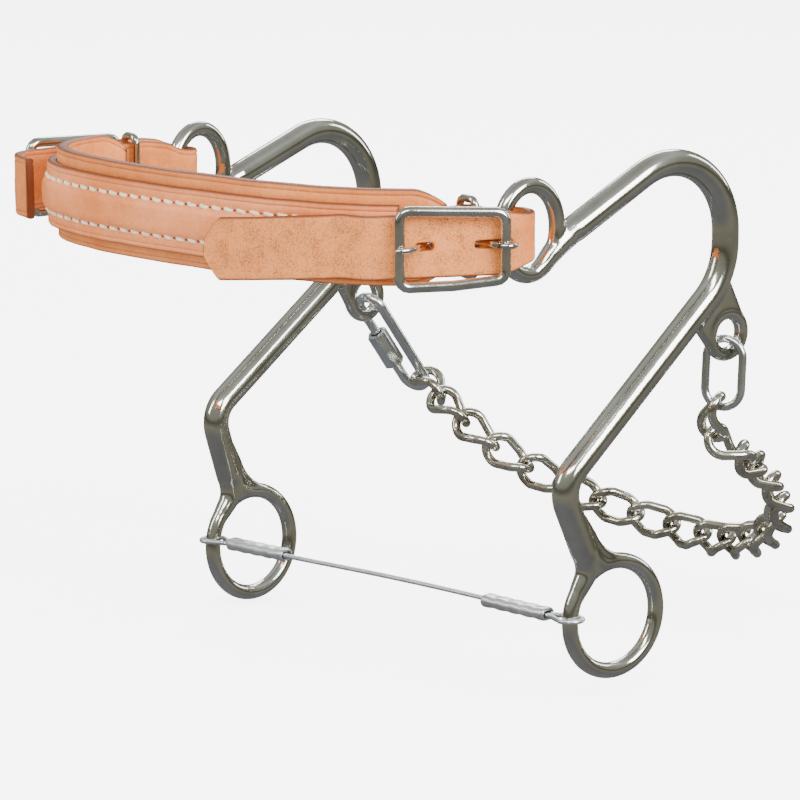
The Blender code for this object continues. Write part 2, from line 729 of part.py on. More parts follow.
def chain_layout():
    """Each link's centre, direction and width, and every touching point, closing on the connector."""
    _, meet, quick = quick_place()
    turn = quick.to_3x3()
    quick_along, quick_normal = turn @ Vector((1, 0, 0)), turn @ Vector((0, 0, 1))
    quick_end = meet + quick_along * (QUICK_WIRE + GAP / 2 - QUICK_HALF_WIDTH)
    start = Bend(quick_end, QUICK_HALF_WIDTH, QUICK_WIRE, quick_along, quick_normal)
    wanted = connector_bottom()
    directions = chain_directions(meeting_points())
    for _ in range(60):
        widths = chain_widths(directions, quick_normal, connector_normal())
        centres, meets, bend = chain_places(directions, widths, start)
        bottom, last = bend.hang(CONNECTOR_HALF_WIDTH, CONNECTOR_WIRE, connector_along())
        error = (wanted - bottom) / LINK_COUNT
        directions = [(d * LINK_PITCH + error * 0.8).normalized() for d in directions]
    return centres, directions, widths, meets + [last]


def make_chain():
    centres, directions, widths, meets = chain_layout()
    half_length = LINK_PITCH / 2 + LINK_WIRE + GAP / 2
    for i, (centre, along, across, meet) in enumerate(zip(centres, directions, widths, meets)):
        bm = link_mesh(half_length, LINK_HALF_WIDTH, LINK_WIRE, LINK_TWIST, LINK_SQUARENESS, 18, 6)
        matrix = link_matrix(centre - along, centre + along, across)
        finish_mesh(f"curb_link_{i + 1:02d}", bm, "nickel", meet, matrix)


def connector_across():
    return Vector((math.cos(CONNECTOR_TURN), math.sin(CONNECTOR_TURN), 0))


def connector_along():
    return (Vector(CONNECTOR_TOP) - Vector(CHAIN_LINE[-1])).normalized()


def connector_normal():
    return connector_along().cross(connector_across()).normalized()


def connector_bottom():
    return Vector(CHAIN_LINE[-1]) - connector_along() * (CONNECTOR_WIRE + GAP / 2)


def make_connector():
    top, bottom = Vector(CONNECTOR_TOP), connector_bottom()
    half_length = (top - bottom).length / 2
    bm = link_mesh(half_length, CONNECTOR_HALF_WIDTH, CONNECTOR_WIRE, 0.0, 1.0, 24, 8)
    finish_mesh("connector_link", bm, "nickel", top, link_matrix(top, bottom, connector_across()))


def quick_place():
    """Where the quick link's wire crosses the right eye, and its placing matrix."""
    eye = cheek_point("right", *EYE_CENTRE)
    meet = Vector(CHAIN_LINE[0])
    down = (meet - eye).normalized()
    start = eye + down * (QUICK_DROP + QUICK_WIRE + GAP / 2)
    across = Vector((-0.96, -0.17, -0.21))
    return start, meet, link_matrix(start, meet, across)


def make_quick_link():
    start, meet, matrix = quick_place()
    reach = (meet - start).length
    half = reach / 2 + QUICK_WIRE + GAP / 2
    straight = half - QUICK_HALF_WIDTH
    ends = []
    for sign in (1, -1):
        turns = [math.pi / 2 - math.pi * i / 10 for i in range(11)]
        ends.append([(sign * (straight + QUICK_HALF_WIDTH * math.cos(a)), sign * QUICK_HALF_WIDTH * math.sin(a), 0)
                     for a in turns])
    gap_start, gap_end = 7.0, 2.5
    path = [(gap_start, QUICK_HALF_WIDTH, 0)] + ends[0] + ends[1] + [(gap_end, QUICK_HALF_WIDTH, 0)]
    finish_mesh("quick_link_body", wire_mesh(path, QUICK_WIRE, 10), "nickel", start, matrix)
    hexagon = bmesh.new()
    spin = Matrix.Rotation(math.pi / 2, 4, "Y")
    bmesh.ops.create_cone(hexagon, cap_ends=True, segments=6, radius1=3.5, radius2=3.5, depth=SLEEVE_LENGTH,
                          matrix=spin)
    bore = bmesh.new()
    size = QUICK_WIRE + GAP
    bmesh.ops.create_cone(bore, cap_ends=True, segments=16, radius1=size, radius2=size, depth=40, matrix=spin)
    sleeve = combined(hexagon, [bore], "DIFFERENCE")
    bmesh.ops.translate(sleeve, vec=(SLEEVE_PLACE, QUICK_HALF_WIDTH, 0), verts=sleeve.verts)
    finish_mesh("quick_link_sleeve", sleeve, "nickel",
                matrix @ Vector((SLEEVE_PLACE, QUICK_HALF_WIDTH, 0)), matrix)


# Spreader cable.


def ring_wire_point(side, z):
    """The middle of the rein ring's wire on its front side, at a height in the cheek's plane."""
    y = REIN_RING_CENTRE[0] - math.sqrt(REIN_RING_RADIUS**2 - (z - REIN_RING_CENTRE[1]) ** 2)
    return cheek_point(side, y, z)


def cable_end(wrap, toward):
    """The cable's line round a ring's wire: in along the far side of its sleeve, round, and back to its end."""
    ahead = (wrap - toward).normalized()
    side = Vector((-ahead.y, ahead.x, 0)).normalized()
    around = RING_WIRE + 0.45 + CABLE_RADIUS
    lane = CABLE_RADIUS + GAP / 2
    reach = FERRULE_START + FERRULE_LENGTH
    outline = [(-reach - 0.5, lane), (-reach * 0.6, lane), (-FERRULE_START + 0.5, lane), (-6.0, lane + 0.5)]
    turns = [math.radians(125 - 250 * i / 12) for i in range(13)]
    outline += [(around * math.cos(a), around * math.sin(a)) for a in turns]
    outline += [(-6.0, -lane - 0.5), (-FERRULE_START + 0.5, -lane), (-reach * 0.6, -lane), (-reach + 1.0, -lane)]
    return [wrap + ahead * u + side * v for u, v in outline], ahead, side


def ferrule_mesh():
    """A pressed sleeve along X, with an oval bore for two strands."""
    def oval(width, height, depth):
        ring = oval_points(width, height, 20)
        bm = bmesh.new()
        face = bm.faces.new([bm.verts.new((-depth / 2, p.x, p.y)) for p in ring])
        pushed = bmesh.ops.extrude_face_region(bm, geom=[face])["geom"]
        corners = [v for v in pushed if isinstance(v, bmesh.types.BMVert)]
        bmesh.ops.translate(bm, vec=(depth, 0, 0), verts=corners)
        return bm

    bore_height = CABLE_RADIUS + GAP
    bore_width = 2 * CABLE_RADIUS + GAP / 2 + GAP
    return combined(oval(2.75, 1.9, FERRULE_LENGTH), [oval(bore_width, bore_height, 60)], "DIFFERENCE")


def make_spreader():
    near, far = ring_wire_point("left", NEAR_WRAP), ring_wire_point("right", FAR_WRAP)
    bow = Vector((0, 0, CABLE_BOW))
    near_end, near_ahead, near_side = cable_end(near, near.lerp(far, 0.3) + bow)
    far_end, far_ahead, far_side = cable_end(far, far.lerp(near, 0.3) + bow)
    start, end = far_end[0], near_end[0]
    span = (end - start).length
    run = []
    for i in range(1, 12):
        t = i / 12
        middle = (start - far_ahead * span * t).lerp(end - near_ahead * span * (1 - t), t**2 * (3 - 2 * t))
        run.append(middle)
    line = list(reversed(far_end)) + run + near_end
    finish_mesh("spreader_cable", wire_mesh(line, CABLE_RADIUS, 6), "cable", near)
    for name, wrap, ahead, side in (("left", near, near_ahead, near_side), ("right", far, far_ahead, far_side)):
        turn = Matrix((ahead, side, ahead.cross(side))).transposed().to_4x4()
        spot = wrap - ahead * (FERRULE_START + FERRULE_LENGTH / 2)
        finish_mesh(name + "_cable_ferrule", ferrule_mesh(), "aluminium", near, Matrix.Translation(spot) @ turn)


def make_all():
    clear_scene()
    make_cheeks()
    make_noseband()
    make_straps()
    make_chain()
    make_connector()
    make_quick_link()
    make_spreader()


make_all()
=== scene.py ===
"""A bitless hackamore at the photograph's viewing angle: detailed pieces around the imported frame."""

import math

import bmesh
import bpy
import numpy as np
from mathutils import Matrix, Vector, noise


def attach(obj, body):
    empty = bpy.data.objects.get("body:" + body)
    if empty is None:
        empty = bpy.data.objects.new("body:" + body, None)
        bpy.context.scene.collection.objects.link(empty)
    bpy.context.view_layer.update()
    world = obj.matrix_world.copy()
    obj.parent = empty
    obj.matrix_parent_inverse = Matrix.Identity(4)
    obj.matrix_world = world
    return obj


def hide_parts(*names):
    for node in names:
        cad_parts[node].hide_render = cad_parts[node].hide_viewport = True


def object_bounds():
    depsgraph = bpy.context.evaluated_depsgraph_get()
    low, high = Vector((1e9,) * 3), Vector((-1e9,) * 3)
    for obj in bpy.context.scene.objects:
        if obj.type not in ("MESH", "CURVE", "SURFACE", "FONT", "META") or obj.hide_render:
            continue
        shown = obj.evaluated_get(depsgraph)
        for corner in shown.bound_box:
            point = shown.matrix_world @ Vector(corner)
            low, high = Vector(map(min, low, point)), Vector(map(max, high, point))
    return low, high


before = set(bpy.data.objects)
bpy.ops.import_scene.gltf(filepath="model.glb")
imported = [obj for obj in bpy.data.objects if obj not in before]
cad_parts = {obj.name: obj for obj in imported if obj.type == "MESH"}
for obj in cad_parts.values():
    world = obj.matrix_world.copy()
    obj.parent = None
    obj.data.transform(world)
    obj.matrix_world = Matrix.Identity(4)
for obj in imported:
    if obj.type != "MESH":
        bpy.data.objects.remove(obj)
CAD_BOUNDS = [list(corner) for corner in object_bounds()]

# Lengths are in millimetres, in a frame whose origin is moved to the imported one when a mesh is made.

MM = 0.001
GAP = 0.3
ORIGIN = (-0.7, -75.4, 62.0)

# Cheeks, in their own plane: y to the rear, z up.
CHEEK_SPACING = 155.0
ROD_RADIUS = 3.9
ROD_CORNERS = [(-5.6, 57.4, 0), (56.9, 89.4, 21.3), (56.9, 41.9, 21.3), (-3.35, -11.6, 9.0), (8.5, -38.2, 0)]
NOSE_RING_CENTRE = (-15.1, 62.1)
NOSE_RING_HALF = (10.0, 12.4)
REIN_RING_CENTRE = (16.3, -51.35)
REIN_RING_RADIUS = 15.85
RING_WIRE = 2.35
ROD_END = 2.5
ROD_END_REACH = 7.5

# Where the rod flows into a ring's wire: (y, z, radius) along each root.
ROOTS = [
    [(3.5, 62.06, 3.6), (-2.0, 58.7, 3.4), (-6.6, 55.2, 3.0), (-10.3, 51.8, 2.55), (-13.6, 49.9, 2.2)],
    [(2.62, -25.0, 3.6), (5.6, -32.0, 3.6), (6.3, -37.2, 3.2), (3.9, -41.6, 2.7), (1.82, -44.9, 2.2)],
    [(2.9, -25.5, 3.2), (6.8, -31.4, 3.0), (11.4, -35.3, 2.6), (16.3, -35.5, 2.2)],
]
EYE_CENTRE = (57.5, 24.8)
EYE_RADIUS = 7.6
EYE_HOLE = 4.2
PLATE = 4.0
RIGHT_OFFSET = (-CHEEK_SPACING / 2, -8.16, -3.72)
RIGHT_TURN = (-8.15, -2.79, 6.46)

# Noseband, seen from above: the outer face of its base, from the left end to the right end.
BAND_LINE = [
    (71.4, -38.5), (70.0, -44.0), (65.4, -50.6), (58.0, -57.8), (46.0, -65.2), (31.0, -71.4), (15.0, -75.6),
    (0.0, -78.9), (-15.0, -81.4), (-30.0, -82.8), (-45.0, -82.4), (-56.0, -80.0), (-63.6, -75.4),
    (-69.2, -68.0), (-72.2, -58.5), (-73.0, -47.5),
]
BAND_MID_Z = 62.0
BASE_THICK = 3.5
BASE_HALF = 13.3
LEATHER = 2.6
OVERLAY_HALF = 9.4
CORE_HALF = 4.6
CORE_THICK = 1.2

# Straps, seen from above: (x, y, height of the middle, half width) from the band, round the ring, to the tip.
STRAP = 2.5
STRAP_HALF = 8.8
BILLET_LIFT = 6.3
LEFT_STRAP = [
    (72.3, -42.4, 61.8, 8.8), (72.8, -38.0, 61.8, 8.8), (73.2, -32.0, 61.9, 8.6),
    (73.4, -26.5, 61.9, 7.2), (73.7, -22.4, 61.9, 6.9), (75.4, -18.7, 61.9, 6.9),
    (78.6, -17.3, 61.9, 6.9), (82.0, -18.1, 61.8, 6.9), (84.2, -20.9, 61.6, 6.9),
    (84.7, -24.3, 61.4, 7.6), (83.5, -29.2, 61.0, 8.8), (79.9, -37.2, 61.0, 8.8),
    (75.6, -46.8, 61.0, 8.8), (71.5, -56.0, 61.0, 8.8), (66.4, -62.0, 60.6, 8.8),
]
RIGHT_STRAP = [
    (-74.6, -52.4, 62.5, 8.9), (-74.75, -46.0, 62.5, 8.9), (-74.8, -38.0, 62.4, 8.9),
    (-74.7, -30.0, 61.8, 8.2), (-74.4, -26.0, 61.0, 7.2), (-74.6, -22.0, 60.4, 6.9),
    (-76.2, -18.9, 60.3, 6.9), (-79.3, -17.6, 60.3, 6.9), (-82.6, -18.9, 60.4, 6.9),
    (-84.4, -22.6, 61.0, 7.2), (-84.2, -27.0, 61.6, 8.2), (-82.3, -35.0, 62.2, 8.9),
    (-81.35, -44.0, 62.5, 8.9), (-81.1, -53.0, 62.5, 8.9), (-80.8, -62.0, 62.5, 8.9),
    (-80.55, -70.0, 62.5, 8.9), (-80.4, -75.4, 62.5, 8.9), (-78.2, -79.6, 62.5, 8.9),
    (-73.2, -82.2, 62.5, 8.9), (-65.6, -83.7, 62.5, 8.9),
]
LEFT_BARS = ((83.5, -29.2), (71.5, -56.0))
RIGHT_BARS = ((-81.5, -40.6), (-80.5, -71.5))
BAR_LIFT = 3.6
BUCKLE_WIRE = 1.5
TONGUE_WIRE = 0.85
TONGUE_UNDER = 2.6
LOOP_WIRE = 1.1

# Curb chain: the points where its links meet, from the quick link to the connector.
CHAIN_LINE = [
    (-82.5, 70.9, -16.6), (-71.0, 68.5, -20.6), (-60.1, 69.9, -25.8), (-50.8, 73.6, -31.8),
    (-42.9, 80.8, -37.8), (-34.2, 89.0, -43.5), (-25.3, 97.8, -48.2), (-15.7, 104.6, -51.2),
    (-4.6, 109.1, -52.9), (7.3, 110.6, -53.1), (19.4, 109.4, -51.7), (31.0, 107.3, -48.8),
    (41.9, 104.2, -44.4), (51.8, 100.0, -37.5), (59.3, 94.0, -29.2), (63.6, 85.6, -21.2),
    (67.5, 76.8, -14.2), (74.0, 67.5, -10.0), (71.0, 59.2, -4.0), (77.5, 56.6, 4.9),
]
LINK_COUNT = 19
LINK_TWIST = -math.pi / 2
LINK_PITCH = 12.5
LINK_SQUARENESS = 0.6
LINK_WIRE = 1.4
LINK_HALF_WIDTH = 4.5
LINK_BEND = 3.5
CHAIN_FACE = (-0.775, 0.598, -0.205)
CONNECTOR_WIRE = 1.2
CONNECTOR_HALF_WIDTH = 5.4
CONNECTOR_TURN = math.radians(30)
CONNECTOR_TOP = (77.5, 57.5, 23.3)
QUICK_WIRE = 1.6
QUICK_HALF_WIDTH = 4.3
QUICK_DROP = 0.5
SLEEVE_LENGTH = 12.5
SLEEVE_HALF_WIDTH = 3.5
SLEEVE_PLACE = 2.0

# Spreader cable.
CABLE_RADIUS = 0.75
NEAR_WRAP = -50.0
FAR_WRAP = -50.5
FERRULE_LENGTH = 25.0
FERRULE_START = 8.6
CABLE_BOW = 0.4


# Lines.

CURVE_STEPS = 24


def rounded_path(corners, step=15.0):
    """A polyline through (y, z, radius) corners, each turned on an arc with a point every step degrees."""
    points = [Vector(c[:2]) for c in corners]
    path = [points[0]]
    for (_, _, radius), before, at, after in zip(corners[1:-1], points, points[1:], points[2:]):
        into, out = (at - before).normalized(), (after - at).normalized()
        turn = into.angle_signed(out)
        centre_side = Vector((into.y, -into.x)) * math.copysign(1, turn)
        start = at - into * radius * math.tan(abs(turn) / 2)
        centre = start + centre_side * radius
        count = max(2, round(math.degrees(abs(turn)) / step))
        for i in range(count + 1):
            spin = Matrix.Rotation(-turn * i / count, 2)
            path.append(centre + spin @ (start - centre))
    path.append(points[-1])
    return path


def curve_through(points, steps):
    """A Catmull-Rom curve through vectors, with so many steps from each to the next."""
    extended = [2 * points[0] - points[1]] + points + [2 * points[-1] - points[-2]]
    dense = []
    for a, b, c, d in zip(extended, extended[1:], extended[2:], extended[3:]):
        for i in range(steps):
            t = i / steps
            square, cube = (2 * a - 5 * b + 4 * c - d) * t**2, (3 * b - a - 3 * c + d) * t**3
            dense.append(0.5 * (2 * b + (c - a) * t + square + cube))
    return dense + [points[-1]]


def smooth_line(points, spacing):
    """A smooth curve through the points, as points about the spacing apart."""
    return even_points(curve_through([Vector(p) for p in points], CURVE_STEPS), spacing)


def lengths_along(points):
    steps = [(b - a).length for a, b in zip(points, points[1:])]
    return [0.0] + list(np.cumsum(steps))


def point_at(points, along, distance):
    """The point at a distance along the polyline, and the direction there."""
    i = int(np.clip(np.searchsorted(along, distance) - 1, 0, len(points) - 2))
    share = (distance - along[i]) / (along[i + 1] - along[i])
    return points[i].lerp(points[i + 1], share), (points[i + 1] - points[i]).normalized()


def even_points(points, spacing, closed=False):
    if closed:
        points = points + [points[0]]
    along = lengths_along(points)
    count = max(2, round(along[-1] / spacing))
    picked = [point_at(points, along, along[-1] * i / count)[0] for i in range(count + 1)]
    return picked[:-1] if closed else picked


def heading(points, i):
    """The direction along an open line at its point i."""
    return (points[min(i + 1, len(points) - 1)] - points[max(i - 1, 0)]).normalized()


def offset_line(points, distance):
    """The plan line moved sideways, away from the nose for a positive distance."""
    moved = []
    for i, p in enumerate(points):
        along = heading(points, i)
        moved.append(p + Vector((-along.y, along.x)) * distance)
    return moved


# Solids.


def skin(bm, pairs):
    """Faces between each pair of rings of vertices."""
    for a, b in pairs:
        for i in range(len(a)):
            j = (i + 1) % len(a)
            bm.faces.new((a[i], a[j], b[j], b[i]))


def sweep(bm, rings, closed):
    """Skins rings of points, which all have one count, and caps the ends of an open run."""
    made = [[bm.verts.new(p) for p in ring] for ring in rings]
    skin(bm, list(zip(made, made[1:])) + ([(made[-1], made[0])] if closed else []))
    if not closed:
        bm.faces.new(made[0])
        bm.faces.new(list(reversed(made[-1])))
    return bm


def carried_frames(points, closed):
    """For each point, the direction along and one across it that turns no more than it must."""
    count = len(points)
    tangents = []
    for i in range(count):
        around = (points[(i + 1) % count] - points[i - 1]).normalized()
        tangents.append(around if closed else heading(points, i))
    across = tangents[0].orthogonal()
    across = (across - tangents[0] * across.dot(tangents[0])).normalized()
    normals = [across]
    for i in range(1, count):
        turn = tangents[i - 1].rotation_difference(tangents[i])
        across = turn @ across
        normals.append((across - tangents[i] * across.dot(tangents[i])).normalized())
    if closed:
        back = tangents[-1].rotation_difference(tangents[0]) @ normals[-1]
        error = math.atan2(back.cross(normals[0]).dot(tangents[0]), back.dot(normals[0]))
        for i in range(count):
            normals[i] = Matrix.Rotation(error * i / count, 3, tangents[i]) @ normals[i]
    return list(zip(tangents, normals))


def wire_mesh(points, radius, sides=10, closed=False, bm=None):
    """A round wire along the points; a radius can be one number or one for each point."""
    bm = bm or bmesh.new()
    points = [Vector(p) for p in points]
    radii = [radius] * len(points) if isinstance(radius, float) else radius
    rings = []
    for p, r, (along, across) in zip(points, radii, carried_frames(points, closed)):
        other = along.cross(across)
        turns = [2 * math.pi * k / sides for k in range(sides)]
        rings.append([p + (across * math.cos(a) + other * math.sin(a)) * r for a in turns])
    return sweep(bm, rings, closed)


def basis(x, y, z):
    """A turn whose three axes are these directions."""
    return Matrix((x, y, z)).transposed().to_4x4()


def bevel(bm, edges, offset, segments):
    bmesh.ops.bevel(bm, geom=edges, offset=offset, segments=segments, profile=0.5, affect="EDGES")


def add_rod(bm, sides, radius, length, place=Matrix()):
    """A straight rod with so many sides, along X."""
    spin = place @ Matrix.Rotation(math.pi / 2, 4, "Y")
    ends = {"radius1": radius, "radius2": radius, "depth": length}
    bmesh.ops.create_cone(bm, cap_ends=True, segments=sides, matrix=spin, **ends)
    return bm


def plate_mesh(outline, thickness, rounding):
    """An outline of (y, z) points as a plate centred on x = 0."""
    bm = bmesh.new()
    face = bm.faces.new([bm.verts.new((-thickness / 2, y, z)) for y, z in outline])
    pushed = bmesh.ops.extrude_face_region(bm, geom=[face])["geom"]
    corners = [v for v in pushed if isinstance(v, bmesh.types.BMVert)]
    bmesh.ops.translate(bm, vec=(thickness, 0, 0), verts=corners)
    bmesh.ops.recalc_face_normals(bm, faces=bm.faces)
    rims = [e for e in bm.edges if abs(e.verts[0].co.x - e.verts[1].co.x) < 1e-6]
    bevel(bm, rims, rounding, 2)
    return bm


def mesh_data(name, bm):
    data = bpy.data.meshes.new(name)
    bm.to_mesh(data)
    bm.free()
    return data


def add_object(name, data):
    obj = bpy.data.objects.new(name, data)
    bpy.context.scene.collection.objects.link(obj)
    return obj


def face_outward(bm):
    """Turns every face outwards. Blender's own guess can choose the inside of a thin curved strip."""
    bmesh.ops.recalc_face_normals(bm, faces=bm.faces)
    if bm.calc_volume(signed=True) < 0:
        bmesh.ops.reverse_faces(bm, faces=bm.faces)


def combined(base, others, operation):
    """The base mesh joined with, or cut by, each of the others. Meshes are in millimetres."""
    result = base
    for other in others:
        objects = []
        for bm in (result, other):
            face_outward(bm)
            objects.append(add_object("temporary", mesh_data("temporary", bm)))
        boolean = objects[0].modifiers.new("boolean", "BOOLEAN")
        boolean.operation = operation
        boolean.object = objects[1]
        boolean.solver = "EXACT"
        graph = bpy.context.evaluated_depsgraph_get()
        data = bpy.data.meshes.new_from_object(objects[0].evaluated_get(graph))
        result = bmesh.new()
        result.from_mesh(data)
        for obj in objects:
            bpy.data.objects.remove(obj, do_unlink=True)
    bmesh.ops.remove_doubles(result, verts=result.verts, dist=0.002)
    return result


def ellipse(centre, half, count):
    turns = [2 * math.pi * i / count for i in range(count)]
    return [(0, centre[0] + half[0] * math.cos(a), centre[1] + half[1] * math.sin(a)) for a in turns]


def turns_between(start, end, count):
    """Even turns from one angle to another in degrees, as radians."""
    return [math.radians(start + (end - start) * i / (count - 1)) for i in range(count)]


def arc(centre, radius, start, end, count):
    turns = turns_between(start, end, count)
    return [(centre[0] + radius * math.cos(a), centre[1] + radius * math.sin(a)) for a in turns]


def rod_mesh(step, sides):
    """The rod, thinning out where it meets the rings."""
    line = [Vector((0, p.x, p.y)) for p in rounded_path(ROD_CORNERS, step)]
    line.insert(1, line[0] + (line[1] - line[0]).normalized() * ROD_END_REACH)
    line.insert(-1, line[-1] + (line[-2] - line[-1]).normalized() * ROD_END_REACH)
    radii = [ROD_END] + [ROD_RADIUS] * (len(line) - 2) + [ROD_END]
    return wire_mesh(line, radii, sides)


def root_mesh(root, spacing, sides):
    """A tapered wire that leads from the rod into a ring."""
    line = smooth_line([Vector((0, y, z)) for y, z, _ in root], spacing)
    along = lengths_along(line)
    marks = lengths_along([Vector((0, y, z)) for y, z, _ in root])
    share = along[-1] / marks[-1]
    radii = [float(np.interp(s, [m * share for m in marks], [r for _, _, r in root])) for s in along]
    return wire_mesh(line, radii, sides)


def cheek_matrix(side):
    if side == "left":
        return Matrix.Translation((CHEEK_SPACING / 2, 0, 0))
    turn = Matrix.Identity(4)
    for angle, axis in zip(RIGHT_TURN, "XYZ"):
        turn = Matrix.Rotation(math.radians(angle), 4, axis) @ turn
    return Matrix.Translation(RIGHT_OFFSET) @ turn


def cheek_point(side, y, z):
    return cheek_matrix(side) @ Vector((0, y, z))


def band_line(spacing=5.0):
    return smooth_line(BAND_LINE, spacing)


def part_of(line, start, end):
    along = lengths_along(line)
    inside = [p for p, s in zip(line, along) if start < s < along[-1] - end]
    ends = point_at(line, along, start)[0], point_at(line, along, along[-1] - end)[0]
    return [ends[0]] + inside + [ends[1]]


def strap_rows(side):
    """The strap as smooth rows of (x, y, height of the middle, half width)."""
    rows = [Vector(r) for r in (LEFT_STRAP if side == "left" else RIGHT_STRAP)]
    if side == "left":
        front = part_of(offset_line(band_line(4.0), BILLET_LIFT), 32, 130)
        reach = [p for p in front if p.x > 16]
        fall = [max(0.0, (60.0 - p.x) / 46.0) for p in reach]
        rows += [Vector((p.x, p.y, 60.6 - 5.0 * f, STRAP_HALF)) for p, f in zip(reach[::2], fall[::2])]
    return curve_through(rows, 3)


class BuckleFrame:
    """Places points along a buckle, outward from its strap, and up."""

    def __init__(self, bars, height):
        first, second = Vector(bars[0]), Vector(bars[1])
        self.along = (second - first).normalized()
        self.out = Vector((-self.along.y, self.along.x)) * (1 if bars[0][0] > 0 else -1)
        self.start = first
        self.length = (second - first).length
        self.height = height

    def at(self, along, out, up=0.0):
        spot = self.start + self.along * along + self.out * out
        return Vector((spot.x, spot.y, self.height + up))

    def axes(self):
        turn = basis(self.along.to_3d(), self.out.to_3d(), Vector((0, 0, 1)))
        return Matrix.Translation(self.at(0, 0)) @ turn


def slot_cutter(place, start, end, width):
    bm = bmesh.new()
    bmesh.ops.create_cube(bm, size=1.0)
    size = Matrix.Diagonal((end - start, 12.0, width, 1.0))
    bmesh.ops.transform(bm, matrix=size, verts=bm.verts)
    rims = [e for e in bm.edges if abs(e.verts[0].co.y - e.verts[1].co.y) > 6]
    bevel(bm, rims, width * 0.42, 3)
    spot = place.axes() @ Matrix.Translation(((start + end) / 2, 0, 0))
    bmesh.ops.transform(bm, matrix=spot, verts=bm.verts)
    return bm


def meeting_points():
    """Points an even chord apart along the chain's line, one more than there are links."""
    line = smooth_line(CHAIN_LINE, 0.5)
    low, high = 8.0, 16.0
    for _ in range(40):
        pitch = (low + high) / 2
        found = walk_chords(line, pitch, LINK_COUNT)
        if found is None:
            high = pitch
        else:
            low = pitch
    found = walk_chords(line, low, LINK_COUNT)
    found[-1] = Vector(CHAIN_LINE[-1])
    return found


def walk_chords(line, pitch, count):
    found = [line[0]]
    i = 0
    for _ in range(count):
        while i < len(line) - 1 and (line[i + 1] - found[-1]).length < pitch:
            i += 1
        if i == len(line) - 1:
            return None
        a, b = line[i], line[i + 1]
        low, high = 0.0, 1.0
        for _ in range(30):
            t = (low + high) / 2
            if (a.lerp(b, t) - found[-1]).length < pitch:
                low = t
            else:
                high = t
        found.append(a.lerp(b, low))
    return found


def link_matrix(start, end, across):
    """Stands a link along X between two points, its width along the direction across."""
    along = (end - start).normalized()
    width = (across - along * across.dot(along)).normalized()
    return Matrix.Translation((start + end) / 2) @ basis(along, width, along.cross(width))


def oval_points(half_length, half_width, segments, squareness=1.0):
    """A flat loop along X, from an ellipse at squareness 0 to straight sides and round ends at 1."""
    straight = half_length - half_width
    points = []
    for i in range(segments):
        a = 2 * math.pi * (i + 0.5) / segments
        x, y = math.cos(a), math.sin(a)
        pushed = math.copysign(straight, x) * squareness + straight * x * (1 - squareness)
        points.append(Vector((half_width * x + pushed, half_width * y, 0)))
    return points


def link_mesh(half_length, half_width, wire, twist, squareness, segments, sides):
    """A wire link along X, with its ends turned by twist from each other."""
    points = []
    for p in oval_points(half_length, half_width, segments, squareness):
        turn = Matrix.Rotation(twist / 2 * math.sin(p.x / half_length * math.pi / 2), 3, "X")
        points.append(turn @ p)
    return wire_mesh(points, wire, sides, True)


def chain_directions(points):
    return [(b - a).normalized() for a, b in zip(points, points[1:])]


def carried_widths(directions):
    """The way each link's width lies, carried from one facing direction in the middle without rolling."""
    middle = len(directions) // 2 - 2
    widths = {middle: directions[middle].cross(Vector(CHAIN_FACE)).normalized()}
    for step in (1, -1):
        i = middle
        while 0 <= i + step < len(directions):
            turn = directions[i].rotation_difference(directions[i + step])
            widths[i + step] = turn @ widths[i]
            i += step
    return middle, widths


def roll_to(width, along, wanted):
    """The smaller angle that rolls a width about its link to lie square to, or along, a wanted direction."""
    wanted = (wanted - along * wanted.dot(along)).normalized()
    angle = math.atan2(width.cross(wanted).dot(along), width.dot(wanted))
    return (angle + math.pi / 2) % math.pi - math.pi / 2


def chain_widths(directions, first_wanted, last_wanted):
    """Rolls the links near both ends a little at a time, so that each end link crosses what it hangs on."""
    middle, widths = carried_widths(directions)
    last = len(directions) - 1
    rolls = []
    for i, wanted, end_turn in ((0, first_wanted, -LINK_TWIST / 2), (last, last_wanted, LINK_TWIST / 2)):
        end_width = Matrix.Rotation(end_turn, 3, directions[i]) @ widths[i]
        rolls.append(roll_to(end_width, directions[i], wanted))
    turned = []
    for i, along in enumerate(directions):
        share = (middle - i) / middle if i < middle else (i - middle) / (last - middle)
        roll = (rolls[0] if i < middle else rolls[1]) * share**1.5
        turned.append(Matrix.Rotation(roll, 3, along) @ widths[i])
    return turned


class Bend:
    """The round end of a wire link: its centre, radius, wire, direction, and the normal of its plane."""

    def __init__(self, centre, radius, wire, along, normal):
        self.centre, self.radius, self.wire = centre, radius, wire
        self.along, self.normal = along, normal

    def hang(self, radius, wire, along):
        """Where the wire of the next link's round end comes, and the point where the two touch."""
        pull = (along - self.normal * along.dot(self.normal)).normalized()
        spacing = self.wire + wire + GAP
        tip = self.centre + pull * (self.radius + radius - spacing) - along * radius
        return tip, tip + pull * (wire + GAP / 2)


def chain_places(directions, widths, bend):
    """Hangs each link on the one before. Returns each link's centre, the touching points and the last bend."""
    half_length = LINK_PITCH / 2 + LINK_WIRE + GAP / 2
    centres, meets = [], []
    for along, width in zip(directions, widths):
        tip, meet = bend.hang(LINK_BEND, LINK_WIRE, along)
        centres.append(tip + along * half_length)
        meets.append(meet)
        end_width = Matrix.Rotation(LINK_TWIST / 2, 3, along) @ width
        centre = tip + along * (2 * half_length - LINK_BEND)
        bend = Bend(centre, LINK_BEND, LINK_WIRE, along, along.cross(end_width).normalized())
    return centres, meets, bend


